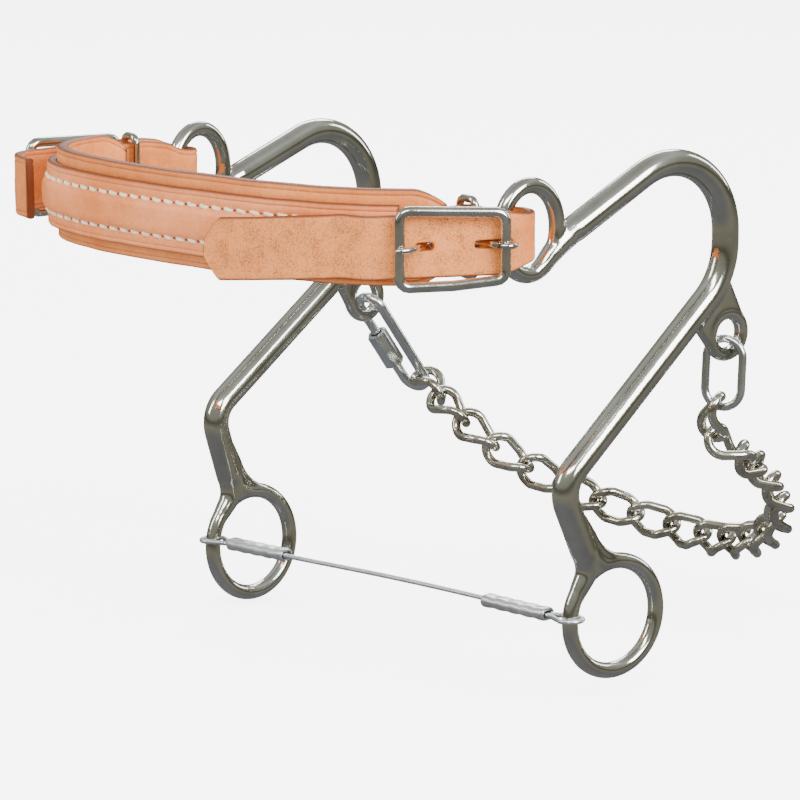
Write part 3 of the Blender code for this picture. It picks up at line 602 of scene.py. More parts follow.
def chain_layout():
    """Each link's centre, direction and width, and every touching point, closing on the connector."""
    _, meet, quick = quick_place()
    turn = quick.to_3x3()
    quick_along, quick_normal = turn @ Vector((1, 0, 0)), turn @ Vector((0, 0, 1))
    quick_end = meet + quick_along * (QUICK_WIRE + GAP / 2 - QUICK_HALF_WIDTH)
    start = Bend(quick_end, QUICK_HALF_WIDTH, QUICK_WIRE, quick_along, quick_normal)
    wanted = connector_bottom()
    directions = chain_directions(meeting_points())
    for _ in range(60):
        widths = chain_widths(directions, quick_normal, connector_normal())
        centres, meets, bend = chain_places(directions, widths, start)
        bottom, last = bend.hang(CONNECTOR_HALF_WIDTH, CONNECTOR_WIRE, connector_along())
        error = (wanted - bottom) / LINK_COUNT
        directions = [(d * LINK_PITCH + error * 0.8).normalized() for d in directions]
    return centres, directions, widths, meets + [last]


def connector_across():
    return Vector((math.cos(CONNECTOR_TURN), math.sin(CONNECTOR_TURN), 0))


def connector_along():
    return (Vector(CONNECTOR_TOP) - Vector(CHAIN_LINE[-1])).normalized()


def connector_normal():
    return connector_along().cross(connector_across()).normalized()


def connector_bottom():
    return Vector(CHAIN_LINE[-1]) - connector_along() * (CONNECTOR_WIRE + GAP / 2)


def quick_place():
    """Where the quick link's wire crosses the right eye, and its placing matrix."""
    eye = cheek_point("right", *EYE_CENTRE)
    meet = Vector(CHAIN_LINE[0])
    down = (meet - eye).normalized()
    start = eye + down * (QUICK_DROP + QUICK_WIRE + GAP / 2)
    across = Vector((-0.96, -0.17, -0.21))
    return start, meet, link_matrix(start, meet, across)


def ring_wire_point(side, z):
    """The middle of the rein ring's wire on its front side, at a height in the cheek's plane."""
    y = REIN_RING_CENTRE[0] - math.sqrt(REIN_RING_RADIUS**2 - (z - REIN_RING_CENTRE[1]) ** 2)
    return cheek_point(side, y, z)


def cable_end(wrap, toward):
    """The cable's line round a ring's wire: in along the far side of its sleeve, round, and back to its end."""
    ahead = (wrap - toward).normalized()
    side = Vector((-ahead.y, ahead.x, 0)).normalized()
    around = RING_WIRE + 0.45 + CABLE_RADIUS
    lane = CABLE_RADIUS + GAP / 2
    reach = FERRULE_START + FERRULE_LENGTH
    outline = [(-reach - 0.5, lane), (-reach * 0.6, lane), (-FERRULE_START + 0.5, lane), (-6.0, lane + 0.5)]
    outline += arc((0, 0), around, 125, -125, 13)
    outline += [(-6.0, -lane - 0.5), (-FERRULE_START + 0.5, -lane), (-reach * 0.6, -lane), (-reach + 1.0, -lane)]
    return [wrap + ahead * u + side * v for u, v in outline], ahead, side


# Materials.


class Nodes:
    """The node tree of a material or world, built a node at a time."""

    def __init__(self, owner):
        owner.use_nodes = True
        self.owner, self.tree = owner, owner.node_tree
        self.place = self.add("ShaderNodeTexCoord").outputs["Object"]

    def add(self, kind, **settings):
        node = self.tree.nodes.new(kind)
        for key, value in settings.items():
            setattr(node, key, value)
        return node

    def feed(self, source, socket):
        """Links an output into the socket, or sets its value."""
        if isinstance(source, (tuple, float)):
            socket.default_value = source
        else:
            self.tree.links.new(source, socket)

    def texture(self, kind, scale, out, place=None, **inputs):
        node = self.add(kind)
        node.inputs["Scale"].default_value = scale
        for key, value in inputs.items():
            node.inputs[key].default_value = value
        self.feed(place or self.place, node.inputs["Vector"])
        return node.outputs[out]

    def stretched(self, scale):
        """The place, scaled by its own amount along each axis."""
        node = self.add("ShaderNodeMapping")
        node.inputs["Scale"].default_value = scale
        self.feed(self.place, node.inputs["Vector"])
        return node.outputs["Vector"]

    def noise(self, scale, detail=4.0, rough=0.6, place=None):
        return self.texture("ShaderNodeTexNoise", scale, "Fac", place, Detail=detail, Roughness=rough)

    def ramp(self, value, *stops):
        node = self.add("ShaderNodeValToRGB")
        elements = node.color_ramp.elements
        while len(elements) < len(stops):
            elements.new(0.5)
        for element, (position, colour) in zip(elements, stops):
            element.position = position
            element.color = colour if isinstance(colour, tuple) else (colour, colour, colour, 1)
        self.feed(value, node.inputs["Fac"])
        return node.outputs["Color"]

    def mix(self, share, a, b, blend="MIX"):
        node = self.add("ShaderNodeMix", data_type="RGBA", blend_type=blend)
        for source, socket in ((share, 0), (a, 6), (b, 7)):
            self.feed(source, node.inputs[socket])
        return node.outputs[2]

    def math(self, operation, a, b=0.0, clamp=False):
        node = self.add("ShaderNodeMath", operation=operation, use_clamp=clamp)
        self.feed(a, node.inputs[0])
        self.feed(b, node.inputs[1])
        return node.outputs[0]

    def attribute(self, name):
        return self.add("ShaderNodeAttribute", attribute_name=name).outputs["Fac"]

    def bump(self, height, distance, strength=1.0, after=None):
        node = self.add("ShaderNodeBump")
        node.inputs["Distance"].default_value = distance
        node.inputs["Strength"].default_value = strength
        self.feed(height, node.inputs["Height"])
        if after:
            self.feed(after, node.inputs["Normal"])
        return node.outputs["Normal"]

    def finish(self, colour, roughness, normal, **values):
        sockets = self.tree.nodes["Principled BSDF"].inputs
        for key, value in {"Base Color": colour, "Roughness": roughness, "Normal": normal, **values}.items():
            self.feed(value, sockets[key])
        return self.owner


def leather_material(name, light, dark, edge, flesh_light, flesh_dark):
    """Vegetable-tanned hide: a smooth grain side, a speckled flesh side and burnished cut edges."""
    n = Nodes(bpy.data.materials.new(name))
    cloud = n.noise(48.0, 5.0, 0.6)
    tone = n.ramp(cloud, (0.34, dark), (0.66, light))
    fine = n.noise(1100.0, 3.0, 0.7)
    mottle = n.ramp(fine, (0.36, (0.25, 0.14, 0.08, 1)), (0.64, (0.8, 0.8, 0.8, 1)))
    tone = n.mix(0.22, tone, mottle, "OVERLAY")
    lines = n.noise(1.0, 3.0, 0.6, n.stretched((60.0, 60.0, 900.0)))
    tone = n.mix(n.ramp(lines, (0.5, 0.0), (0.75, 0.35)), tone, dark)
    speck = n.noise(2100.0, 3.0, 0.8)
    patch = n.noise(210.0, 4.0, 0.6)
    fleck = n.math("ADD", n.math("MULTIPLY", speck, 0.72), n.math("MULTIPLY", patch, 0.28))
    flesh_tone = n.ramp(fleck, (0.40, flesh_dark), (0.53, flesh_light))
    flesh = n.attribute("flesh")
    tone = n.mix(flesh, tone, flesh_tone)
    tone = n.mix(n.ramp(n.attribute("edge"), (0.2, 0.0), (0.9, 1.0)), tone, edge)
    pores = n.texture("ShaderNodeTexVoronoi", 1700.0, "Distance", Randomness=1.0)
    wrinkle = n.texture("ShaderNodeTexVoronoi", 700.0, "Distance", Randomness=1.0)
    grain = n.math("ADD", n.math("MULTIPLY", pores, 0.4), n.math("MULTIPLY", wrinkle, 0.6))
    nap = n.math("MULTIPLY", speck, n.math("MULTIPLY", flesh, 2.6))
    normal = n.bump(n.math("ADD", grain, nap), 0.00014, 0.5)
    rough = n.math("ADD", n.math("MULTIPLY", cloud, 0.25), n.math("MULTIPLY", flesh, 0.3))
    return n.finish(tone, n.math("ADD", rough, 0.3, True), normal, **{"Specular IOR Level": 0.4})


def metal_material(name, bright, dull, low, high, scratch=0.25, grime=None):
    """Polished metal with faint clouding, hairline polishing marks and darker rubbed-in patches."""
    n = Nodes(bpy.data.materials.new(name))
    cloud = n.noise(70.0, 4.0, 0.55)
    tone = n.ramp(cloud, (0.3, dull), (0.65, bright))
    if grime:
        patch = n.ramp(n.noise(300.0, 5.0, 0.65), (0.5, 0.0), (0.7, 1.0))
        tone = n.mix(n.math("MULTIPLY", patch, 0.6), tone, grime)
    marks = n.noise(4200.0, 2.0, 0.5, n.stretched((1.0, 0.08, 0.08)))
    dents = n.noise(260.0, 3.0, 0.5)
    height = n.math("ADD", n.math("MULTIPLY", marks, scratch), dents)
    normal = n.bump(height, 0.00007, 0.3)
    wear = n.math("ADD", n.math("MULTIPLY", cloud, 0.6), n.math("MULTIPLY", marks, 0.4))
    return n.finish(tone, n.ramp(wear, (0.3, low), (0.7, high)), normal, Metallic=1.0)


def thread_material():
    n = Nodes(bpy.data.materials.new("waxed_thread"))
    tone = n.ramp(n.noise(700.0), (0.35, (0.80, 0.60, 0.38, 1)), (0.65, (0.95, 0.84, 0.64, 1)))
    ply = n.texture("ShaderNodeTexWave", 900.0, "Fac", Distortion=1.5)
    rough = n.ramp(ply, (0.0, 0.6), (1.0, 0.8))
    return n.finish(tone, rough, n.bump(ply, 0.00012, 0.6))


def awl_hole_shade_material():
    # Painted shade: a dark brown for the small discs that stand in for the shadowed inside of the awl's holes.
    n = Nodes(bpy.data.materials.new("awl_hole_shade"))
    cloud = n.noise(1500.0)
    tone = n.ramp(cloud, (0.3, (0.10, 0.03, 0.01, 1)), (0.7, (0.24, 0.08, 0.025, 1)))
    return n.finish(tone, n.ramp(cloud, (0.3, 0.7), (0.7, 0.9)), n.bump(cloud, 0.0001, 0.3))


FLOOR_GLOW = 4.5


def floor_material():
    """A pale sheet lit from beneath, as a product photographer's table is."""
    n = Nodes(bpy.data.materials.new("pale_floor"))
    tone = n.ramp(n.noise(3.0), (0.3, (0.93, 0.93, 0.93, 1)), (0.7, (0.96, 0.96, 0.96, 1)))
    grain = n.noise(160.0)
    return n.finish(tone, n.ramp(grain, (0.3, 0.8), (0.7, 0.9)), n.bump(grain, 0.0001, 0.1),
                    **{"Emission Color": (1, 1, 1, 1), "Emission Strength": FLOOR_GLOW})


HIDE = {
    "edge": (0.15, 0.034, 0.010, 1),
    "flesh_light": (0.84, 0.285, 0.075, 1),
    "flesh_dark": (0.42, 0.12, 0.02, 1),
}
MATERIALS = {
    "base": leather_material("leather_base", (0.82, 0.27, 0.065, 1), (0.62, 0.165, 0.025, 1), **HIDE),
    "overlay": leather_material("leather_overlay", (0.88, 0.30, 0.105, 1), (0.70, 0.195, 0.04, 1), **HIDE),
    "strap": leather_material("leather_strap", (0.80, 0.25, 0.06, 1), (0.58, 0.155, 0.025, 1), **HIDE),
    "steel": metal_material("stainless_steel", (0.66, 0.65, 0.60, 1), (0.50, 0.49, 0.42, 1), 0.08, 0.15),
    "buckle": metal_material("nickel_plate", (0.70, 0.69, 0.65, 1), (0.50, 0.48, 0.42, 1), 0.1, 0.2),
    "chain": metal_material("nickel_chain", (0.72, 0.70, 0.62, 1), (0.42, 0.40, 0.32, 1), 0.08, 0.2, 0.2,
                            (0.16, 0.14, 0.10, 1)),
    "quick": metal_material("zinc_plate", (0.78, 0.81, 0.82, 1), (0.58, 0.61, 0.61, 1), 0.14, 0.28),
    "cable": metal_material("steel_cable", (0.84, 0.88, 0.88, 1), (0.66, 0.71, 0.72, 1), 0.25, 0.45, 0.5),
    "ferrule": metal_material("aluminium", (0.86, 0.89, 0.90, 1), (0.68, 0.72, 0.74, 1), 0.3, 0.5, 0.6,
                              (0.42, 0.42, 0.40, 1)),
    "thread": thread_material(),
    # hole: painted shade for the inside of the awl's holes.
    "hole": awl_hole_shade_material(),
}


# Pieces.


def piece(name, bm, finish, body, nodes, matrix=None, angle=40.0):
    """Makes a visible object from a mesh in millimetres, which rides on a body and stands for its nodes."""
    if matrix:
        bmesh.ops.transform(bm, matrix=matrix, verts=bm.verts)
    bmesh.ops.translate(bm, vec=-Vector(ORIGIN), verts=bm.verts)
    bmesh.ops.scale(bm, vec=(MM, MM, MM), verts=bm.verts)
    face_outward(bm)
    data = mesh_data(name, bm)
    data.shade_smooth()
    data.set_sharp_from_angle(angle=math.radians(angle))
    data.materials.append(MATERIALS[finish])
    obj = add_object(name, data)
    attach(obj, body)
    if nodes:
        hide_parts(*nodes)
    return obj


# Cheeks.

BLEND_VOXEL = 0.42
BLEND_PASSES = 12
EYE_PLATE = 3.2
EYE_RIM = 6.1
EYE_RIM_WIRE = 1.95


def cheek_blank():
    """The rod, rings, curb tab and gusset in their own plane, joined by remeshing into one forged piece."""
    bodies = [
        rod_mesh(3.0, 32),
        wire_mesh(ellipse(NOSE_RING_CENTRE, NOSE_RING_HALF, 96), RING_WIRE, 24, True),
        wire_mesh(ellipse(REIN_RING_CENTRE, (REIN_RING_RADIUS,) * 2, 128), RING_WIRE, 24, True),
    ]
    bodies += [root_mesh(root, 0.8, 24) for root in ROOTS]
    tab = [(44.0, 29.6)] + arc(EYE_CENTRE, EYE_RADIUS, -140, 35, 24) + [(57.2, 42.5)]
    tab = plate_mesh(tab, EYE_PLATE, 0.9)
    eye = add_rod(bmesh.new(), 48, EYE_HOLE, 20, Matrix.Translation((0, *EYE_CENTRE)))
    bodies.append(combined(tab, [eye], "DIFFERENCE"))
    bodies.append(wire_mesh(ellipse(EYE_CENTRE, (EYE_RIM,) * 2, 64), EYE_RIM_WIRE, 16, True))
    web = [(3.2, -24.5), (5.2, -29.0), (8.2, -39.0), (20.5, -36.2), (20.5, -34.0)]
    bodies.append(plate_mesh(web + arc((21.0, -20.3), 13.4, 264, 205, 16) + [(4.8, -20.0)], PLATE, 0.9))
    joined = bmesh.new()
    for bm in bodies:
        face_outward(bm)
        part = mesh_data("part", bm)
        joined.from_mesh(part)
        bpy.data.meshes.remove(part)
    obj = add_object("blank", mesh_data("blank", joined))
    remesh = obj.modifiers.new("join", "REMESH")
    remesh.mode = "VOXEL"
    remesh.voxel_size = BLEND_VOXEL
    blend = obj.modifiers.new("blend", "SMOOTH")
    blend.factor = 0.5
    blend.iterations = BLEND_PASSES
    graph = bpy.context.evaluated_depsgraph_get()
    result = bpy.data.meshes.new_from_object(obj.evaluated_get(graph))
    bpy.data.objects.remove(obj, do_unlink=True)
    return result


def make_cheeks():
    blank = cheek_blank()
    for side in ("left", "right"):
        bm = bmesh.new()
        bm.from_mesh(blank)
        piece("Cheek_" + side, bm, "steel", side + "_cheek", [side + "_shank"],
              cheek_matrix(side), 180.0)


# Leather.

CREASE_IN = 1.7
CREASE_DEEP = 0.22


def strip_section(thickness, half, crease=True):
    """Points (height, outward, edge shade) round a strip's section, with softened and creased edges."""
    t = thickness / 2
    soft = min(0.75, thickness * 0.3)
    side = [(half, 0.0, 1.0), (half - 0.06, t - soft, 1.0), (half - soft * 0.35, t - soft * 0.3, 0.8),
            (half - soft, t, 0.3)]
    deep = CREASE_DEEP if crease else 0.0
    shade = 0.5 if crease else 0.0
    inner = half - CREASE_IN - 0.4
    side += [(half - CREASE_IN + 0.4, t, 0.0), (half - CREASE_IN, t - deep, shade), (inner, t, 0.0)]
    side += [(inner * share, t, 0.0) for share in (0.8, 0.55, 0.28, 0.0)]
    top = side + [(-h, o, e) for h, o, e in reversed(side[:-1])]
    under = [(h, -o, e) for h, o, e in reversed(top[1:-1])]
    return top + under


def leather_strip(line, heights, halves, thickness, crease=True, wobble=0.1, section=None, lead=None):
    """A leather strip on edge, with an edge and a flesh layer; lead says where along it the flesh side shows."""
    bm = bmesh.new()
    edge = bm.verts.layers.float.new("edge")
    flesh = bm.verts.layers.float.new("flesh")
    along_line = lengths_along(line)
    rings = []
    for i, (p, height, half) in enumerate(zip(line, heights, halves)):
        along = heading(line, i)
        out = Vector((-along.y, along.x, 0))
        ring = []
        for h, o, e in (section or strip_section(thickness, half, crease)):
            spot = Vector((p.x, p.y, height + h)) + out * o
            shake = noise.noise(spot * 0.16) * wobble
            spot += out * shake + Vector((0, 0, noise.noise(spot * 0.11 + Vector((9, 0, 0))) * wobble))
            vert = bm.verts.new(spot)
            vert[edge] = e
            vert[flesh] = lead(along_line[i]) if lead and o > 0 and e < 0.75 else 0.0
            ring.append(vert)
        rings.append(ring)
    skin(bm, zip(rings, rings[1:]))
    for ring, flip in ((rings[0], False), (rings[-1], True)):
        cap = bm.faces.new(list(reversed(ring)) if flip else ring)
        bmesh.ops.triangulate(bm, faces=[cap])
    for ring in (rings[0], rings[-1]):
        for vert in ring:
            vert[edge] = 1.0
    return bm


def base_halves(line):
    along = lengths_along(line)
    halves = []
    for s in along:
        end = min(s, along[-1] - s)
        halves.append(BASE_HALF - (BASE_HALF - STRAP_HALF - 0.3) * max(0.0, 1 - end / 9.0) ** 1.6)
    return halves


STITCH_ROW = 4.95
STITCH_PITCH = 4.45
STITCH_LENGTH = 2.5
STITCH_WIRE = 0.6
# A stitch's line, from end to end: the share of its length, and how far it stands out.
STITCH_ARCH = ((-0.5, -0.5), (-0.42, 0.1), (-0.22, 0.4), (0.0, 0.48), (0.22, 0.4), (0.42, 0.1), (0.5, -0.5))


def overlay_section():
    """The stitched strip over its core: flat margins, a sunk stitch line, and a rounded rise in the middle."""
    low, high = GAP, GAP + LEATHER
    rise = CORE_THICK + GAP
    half = OVERLAY_HALF
    top = [(half, low + 0.9, 1.0), (half - 0.05, high - 1.0, 1.0)]
    top += [(half - 0.25, high - 0.3, 0.8), (half - 0.8, high, 0.3)]
    top += [(half - 1.4, high, 0.0), (half - 1.7, high - CREASE_DEEP, 0.5), (half - 2.0, high, 0.0)]
    top += [(6.2, high, 0.0), (5.6, high - 0.1, 0.1), (STITCH_ROW, high - 0.35, 0.5), (4.5, high + 0.15, 0.15)]
    top += [(4.0, high + rise * 0.62, 0.0), (3.4, high + rise * 0.9, 0.0), (2.4, high + rise * 1.04, 0.0)]
    top += [(1.2, high + rise * 1.1, 0.0), (0.0, high + rise * 1.12, 0.0)]
    top = top + [(-h, o, e) for h, o, e in reversed(top[:-1])]
    core = CORE_HALF + 0.5
    under = [(half - 0.3, low, 1.0), (core + 0.5, low, 0.0), (core, low + rise, 0.0), (0.0, low + rise, 0.0)]
    under = [(-h, o, e) for h, o, e in under[:-1]] + list(reversed(under))
    return top + under


def make_stitches(covered):
    """Two rows of waxed stitches that dip into the leather at their ends, and between them dark discs painted as
    the shade inside the awl's holes.
    """
    along = lengths_along(covered)
    lift = GAP + LEATHER - 0.38
    count = int((along[-1] - 5) / STITCH_PITCH)
    start = (along[-1] - (count - 1) * STITCH_PITCH) / 2
    stitches, hole_shades = bmesh.new(), bmesh.new()
    for row in (1, -1):
        for i in range(count):
            spot, ahead = point_at(covered, along, start + i * STITCH_PITCH)
            out = Vector((-ahead.y, ahead.x, 0))
            ahead = ahead.to_3d()
            tilt = 0.22 + 0.06 * noise.noise(Vector((i * 1.7, row * 3.1, 0)))
            line = []
            for u, o in STITCH_ARCH:
                middle = Vector((spot.x, spot.y, BAND_MID_Z + row * STITCH_ROW))
                line.append(middle + ahead * STITCH_LENGTH * u + out * (lift + o) + Vector((0, 0, u * 2 * tilt)))
            wire_mesh(line, STITCH_WIRE, 10, False, stitches)
            if i == count - 1:
                continue
            spot, ahead = point_at(covered, along, start + (i + 0.5) * STITCH_PITCH)
            out = Vector((-ahead.y, ahead.x, 0))
            place = Vector((spot.x, spot.y, BAND_MID_Z + row * (STITCH_ROW - 0.1))) + out * (lift - 0.04)
            turn = basis(ahead.to_3d(), out, Vector((0, 0, 1)))
            grow = Matrix.Diagonal((0.75, 0.34, 0.6, 1.0))
            # A low dark disc: painted shade for the inside of an awl hole.
            bmesh.ops.create_uvsphere(hole_shades, u_segments=12, v_segments=8, radius=1.0,
                                      matrix=Matrix.Translation(place) @ turn @ grow)
    piece("Noseband_stitching", stitches, "thread", "noseband", [], angle=80.0)
    piece("Noseband_awl_hole_shade", hole_shades, "hole", "noseband", [], angle=80.0)


def make_noseband():
    line = band_line(1.6)
    base = offset_line(line, -BASE_THICK / 2)
    heights = [BAND_MID_Z] * len(base)
    bm = leather_strip(base, heights, base_halves(base), BASE_THICK, True, 0.12)
    piece("Noseband_base", bm, "base", "noseband", ["noseband_base"], angle=50.0)
    covered = part_of(line, 13.5, 24)
    section = overlay_section()
    heights, halves = [BAND_MID_Z] * len(covered), [OVERLAY_HALF] * len(covered)
    bm = leather_strip(covered, heights, halves, LEATHER, True, 0.12, section)
    overlay = piece("Noseband_padded_overlay", bm, "overlay", "noseband",
                    ["noseband_overlay", "noseband_filler"], angle=50.0)
    make_stitches(covered)


def finer_rows(rows, spacing=1.5):
    """The strap's rows resampled evenly along their plan line."""
    line = [Vector((r.x, r.y)) for r in rows]
    along = lengths_along(line)
    count = round(along[-1] / spacing)
    result = []
    for i in range(count + 1):
        distance = along[-1] * i / count
        k = int(np.clip(np.searchsorted(along, distance) - 1, 0, len(rows) - 2))
        share = (distance - along[k]) / (along[k + 1] - along[k])
        result.append(rows[k].lerp(rows[k + 1], share))
    return result


def arrow_rows(rows):
    """Rows that draw the strap in to its blunt point."""
    ahead = (rows[-1] - rows[-2]).to_2d().normalized()
    last = rows[-1]
    tips = []
    for step, half in ((0.7, 8.3), (1.4, 7.6), (2.4, 6.4), (3.4, 5.2), (4.4, 3.9), (5.0, 2.9), (5.4, 1.7)):
        spot = last.to_2d() + ahead * step
        tips.append(Vector((spot.x, spot.y, last.z - step * 0.11, half)))
    return rows + tips


# The far strap is a little thinner than its stock, so that its buckle has room to rock.
# The near strap's Boolean leaves only a sliver of it at 0.12 mm thinner; at 0.05 mm thinner it is whole.
STRAP_THICKNESS = {"left": STRAP, "right": STRAP - 0.24}
# Slots: distances along the buckle from its hinge bar, or for the prong back from its other bar.
HINGE_SLOT_START = -3.0
HINGE_SLOT_END = {"left": 8.1, "right": 9.0}
PRONG_SLOT = (10.2, 4.9)
SLOT_WIDTH = 2.5
FLESH_START = 36.0
FLESH_FADE = 5.0


def make_strap(side, place):
    rows = finer_rows(strap_rows(side))
    if side == "left":
        rows = arrow_rows(rows)
    line = [Vector((r.x, r.y)) for r in rows]
    lead = (lambda s: min(1.0, max(0.0, (s - FLESH_START) / FLESH_FADE))) if side == "left" else None
    heights, halves = [r.z for r in rows], [r.w for r in rows]
    bm = leather_strip(line, heights, halves, STRAP_THICKNESS[side], side == "right", 0.1, None, lead)
    prong_start, prong_end = (place.length - back for back in PRONG_SLOT)
    slots = [
        slot_cutter(place, HINGE_SLOT_START, HINGE_SLOT_END[side], SLOT_WIDTH),
        slot_cutter(place, prong_start, prong_end, SLOT_WIDTH),
    ]
    body = combined(bm, slots, "DIFFERENCE")
    piece("Strap_" + side, body, "strap", "noseband", [side + "_strap"], angle=50.0)


# Buckles.


def make_buckle(side, place):
    reach = place.length
    corners = [
        (reach / 2, -10.6, 0), (0, -9.5, 2.6), (0, 8.8, 2.6), (reach, 10.2, 2.6), (reach, -10.6, 2.6),
        (reach / 2, -10.6, 0),
    ]
    outline = rounded_path(corners, 8.0)[:-1]
    outline = even_points([place.at(p.x, BAR_LIFT, p.y) for p in outline], 1.2, True)
    bm = wire_mesh(outline, BUCKLE_WIRE, 20, True)
    piece(f"Buckle_{side}_frame", bm, "buckle", side + "_frame", [side + "_buckle_frame"])
    ring = BUCKLE_WIRE + 0.35 + TONGUE_WIRE
    path = [(-ring * math.sin(a), BAR_LIFT + ring * math.cos(a)) for a in turns_between(-40, 270, 37)]
    under = -TONGUE_UNDER
    path += [(4.2, 0.1), (6.0, under * 0.75), (8.0, under), (reach - 10.4, under), (reach - 8.8, under * 0.7)]
    path += [(reach - 6.4, 1.0), (reach - 4.4, 4.3), (reach - 2.4, 6.0), (reach, 6.7), (reach + 1.9, 6.8)]
    points = even_points([place.at(*p) for p in path], 0.8)
    count = len(points)
    radii = [TONGUE_WIRE * min(1.0, 0.55 + 0.25 * (count - 1 - i)) for i in range(count)]
    piece(f"Buckle_{side}_tongue", wire_mesh(points, radii, 16), "buckle", side + "_tongue",
          [side + "_buckle_tongue"])


def make_strap_loop(side, y, inner, outer, low, high):
    corners = [((inner + outer) / 2, low, 0), (outer, low, 2.0), (outer, high, 2.0), (inner, high, 2.0),
               (inner, low, 2.0), ((inner + outer) / 2, low, 0)]
    points = [Vector((p.x, y, p.y)) for p in rounded_path(corners, 8.0)[:-1]]
    bm = wire_mesh(even_points(points, 1.0, True), LOOP_WIRE, 16, True)
    piece(f"Strap_{side}_loop", bm, "buckle", "noseband", [side + "_strap_loop"])


def make_straps():
    for side, bars, height in (("left", LEFT_BARS, 61.0), ("right", RIGHT_BARS, 62.5)):
        place = BuckleFrame(bars, height)
        make_strap(side, place)
        make_buckle(side, place)
    make_strap_loop("left", -33.2, 70.2, 76.9, 51.2, 72.2)
    make_strap_loop("right", -42.6, -71.7, -77.75, 51.8, 73.2)


# Chain.


def make_chain():
    centres, directions, widths, _ = chain_layout()
    half_length = LINK_PITCH / 2 + LINK_WIRE + GAP / 2
    for i, (centre, along, across) in enumerate(zip(centres, directions, widths)):
        bm = link_mesh(half_length, LINK_HALF_WIDTH, LINK_WIRE, LINK_TWIST, LINK_SQUARENESS, 56, 16)
        matrix = link_matrix(centre - along, centre + along, across)
        number = f"{i + 1:02d}"
        piece("Chain_link_" + number, bm, "chain", "link_" + number, ["curb_link_" + number],
              matrix)


def make_connector():
    top, bottom = Vector(CONNECTOR_TOP), connector_bottom()
    bm = link_mesh((top - bottom).length / 2, CONNECTOR_HALF_WIDTH, CONNECTOR_WIRE, 0.0, 1.0, 72, 16)
    matrix = link_matrix(top, bottom, connector_across())
    piece("Connector_link", bm, "quick", "connector", ["connector_link"], matrix)


THREAD_PITCH = 0.9
THREAD_DEEP = 0.16


def make_quick_link():
    start, meet, matrix = quick_place()
    half = (meet - start).length / 2 + QUICK_WIRE + GAP / 2
    straight = half - QUICK_HALF_WIDTH
    ends = []
    for sign in (1, -1):
        turns = [math.pi / 2 - math.pi * i / 30 for i in range(31)]
        ends += [(sign * (straight + QUICK_HALF_WIDTH * math.cos(a)), sign * QUICK_HALF_WIDTH * math.sin(a), 0)
                 for a in turns]
    gap_start, gap_end = 7.0, 2.5
    path = [(gap_start, QUICK_HALF_WIDTH, 0)] + ends + [(gap_end, QUICK_HALF_WIDTH, 0)]
    path = [Vector(p) for p in path]
    points = even_points(path, 0.22)
    radii = []
    for p in points:
        threaded = p.y > QUICK_HALF_WIDTH - 0.01 and (p.x > 6.9 or -9.5 < p.x < 3.0)
        wave = abs((p.x / THREAD_PITCH) % 1.0 - 0.5) * 2
        radii.append(QUICK_WIRE - (THREAD_DEEP * (1.4 - wave) if threaded and p.x < 8.5 else 0.0))
    body = wire_mesh(points, radii, 20)
    piece("Quick_link_body", body, "quick", "quick_link", ["quick_link_body"], matrix)
    piece("Quick_link_sleeve", sleeve_mesh(), "quick", "quick_sleeve", ["quick_link_sleeve"],
          matrix @ Matrix.Translation((SLEEVE_PLACE, QUICK_HALF_WIDTH, 0)), 25.0)


def sleeve_mesh():
    """A hexagon tube along X with its corners turned down at both ends."""
    hexagon = add_rod(bmesh.new(), 6, SLEEVE_HALF_WIDTH, SLEEVE_LENGTH)
    flats = [e for e in hexagon.edges if abs(e.verts[0].co.x - e.verts[1].co.x) > 1]
    bevel(hexagon, flats, 0.35, 3)
    rims = [e for e in hexagon.edges if abs(e.verts[0].co.x - e.verts[1].co.x) < 1e-4]
    rims = [e for e in rims if abs(e.verts[0].co.x) > 1 and len(e.link_faces) == 2]
    bevel(hexagon, rims, 0.4, 2)
    bore = add_rod(bmesh.new(), 32, QUICK_WIRE + GAP, 40)
    return combined(hexagon, [bore], "DIFFERENCE")


# Spreader cable.

STRANDS = 6
STRAND_DEEP = 0.1
LAY_LENGTH = 9.0


def strand_mesh(points):
    """A wire rope: a section with one lobe for each strand, which turns along its length."""
    bm = bmesh.new()
    along_line = lengths_along(points)
    sides = STRANDS * 5
    rings = []
    for p, s, (along, across) in zip(points, along_line, carried_frames(points, False)):
        other = along.cross(across)
        ring = []
        for k in range(sides):
            a = 2 * math.pi * k / sides
            lobe = math.cos(STRANDS * (a - 2 * math.pi * s / LAY_LENGTH))
            radius = CABLE_RADIUS - STRAND_DEEP * (0.5 - 0.5 * lobe)
            ring.append(p + (across * math.cos(a) + other * math.sin(a)) * radius)
        rings.append(ring)
    return sweep(bm, rings, False)


def ferrule_shell(length, crimps):
    """A pressed oval sleeve along X round two strands, nipped in at its crimps and rounded at its ends."""
    bm = bmesh.new()
    stations = 90
    outer, bore = [], []
    for i in range(stations + 1):
        x = -length / 2 + length * i / stations
        end = min(i, stations - i) * length / stations
        grow = 1.0 - 0.16 * max(0.0, 1 - end / 0.8) ** 2
        nip = sum(math.exp(-(((x - c) / 1.5) ** 2)) for c in crimps)
        ring = []
        for p in oval_points(2.75, 1.9, 40):
            ring.append((x, p.x * grow * (1 + 0.02 * nip), p.y * grow * (1 - 0.13 * nip)))
        outer.append(ring)
        hole = oval_points(2 * CABLE_RADIUS + GAP * 1.5, CABLE_RADIUS + GAP, 40)
        bore.append([(x, p.x, p.y) for p in hole])
    return sweep(bm, outer + list(reversed(bore)), True)


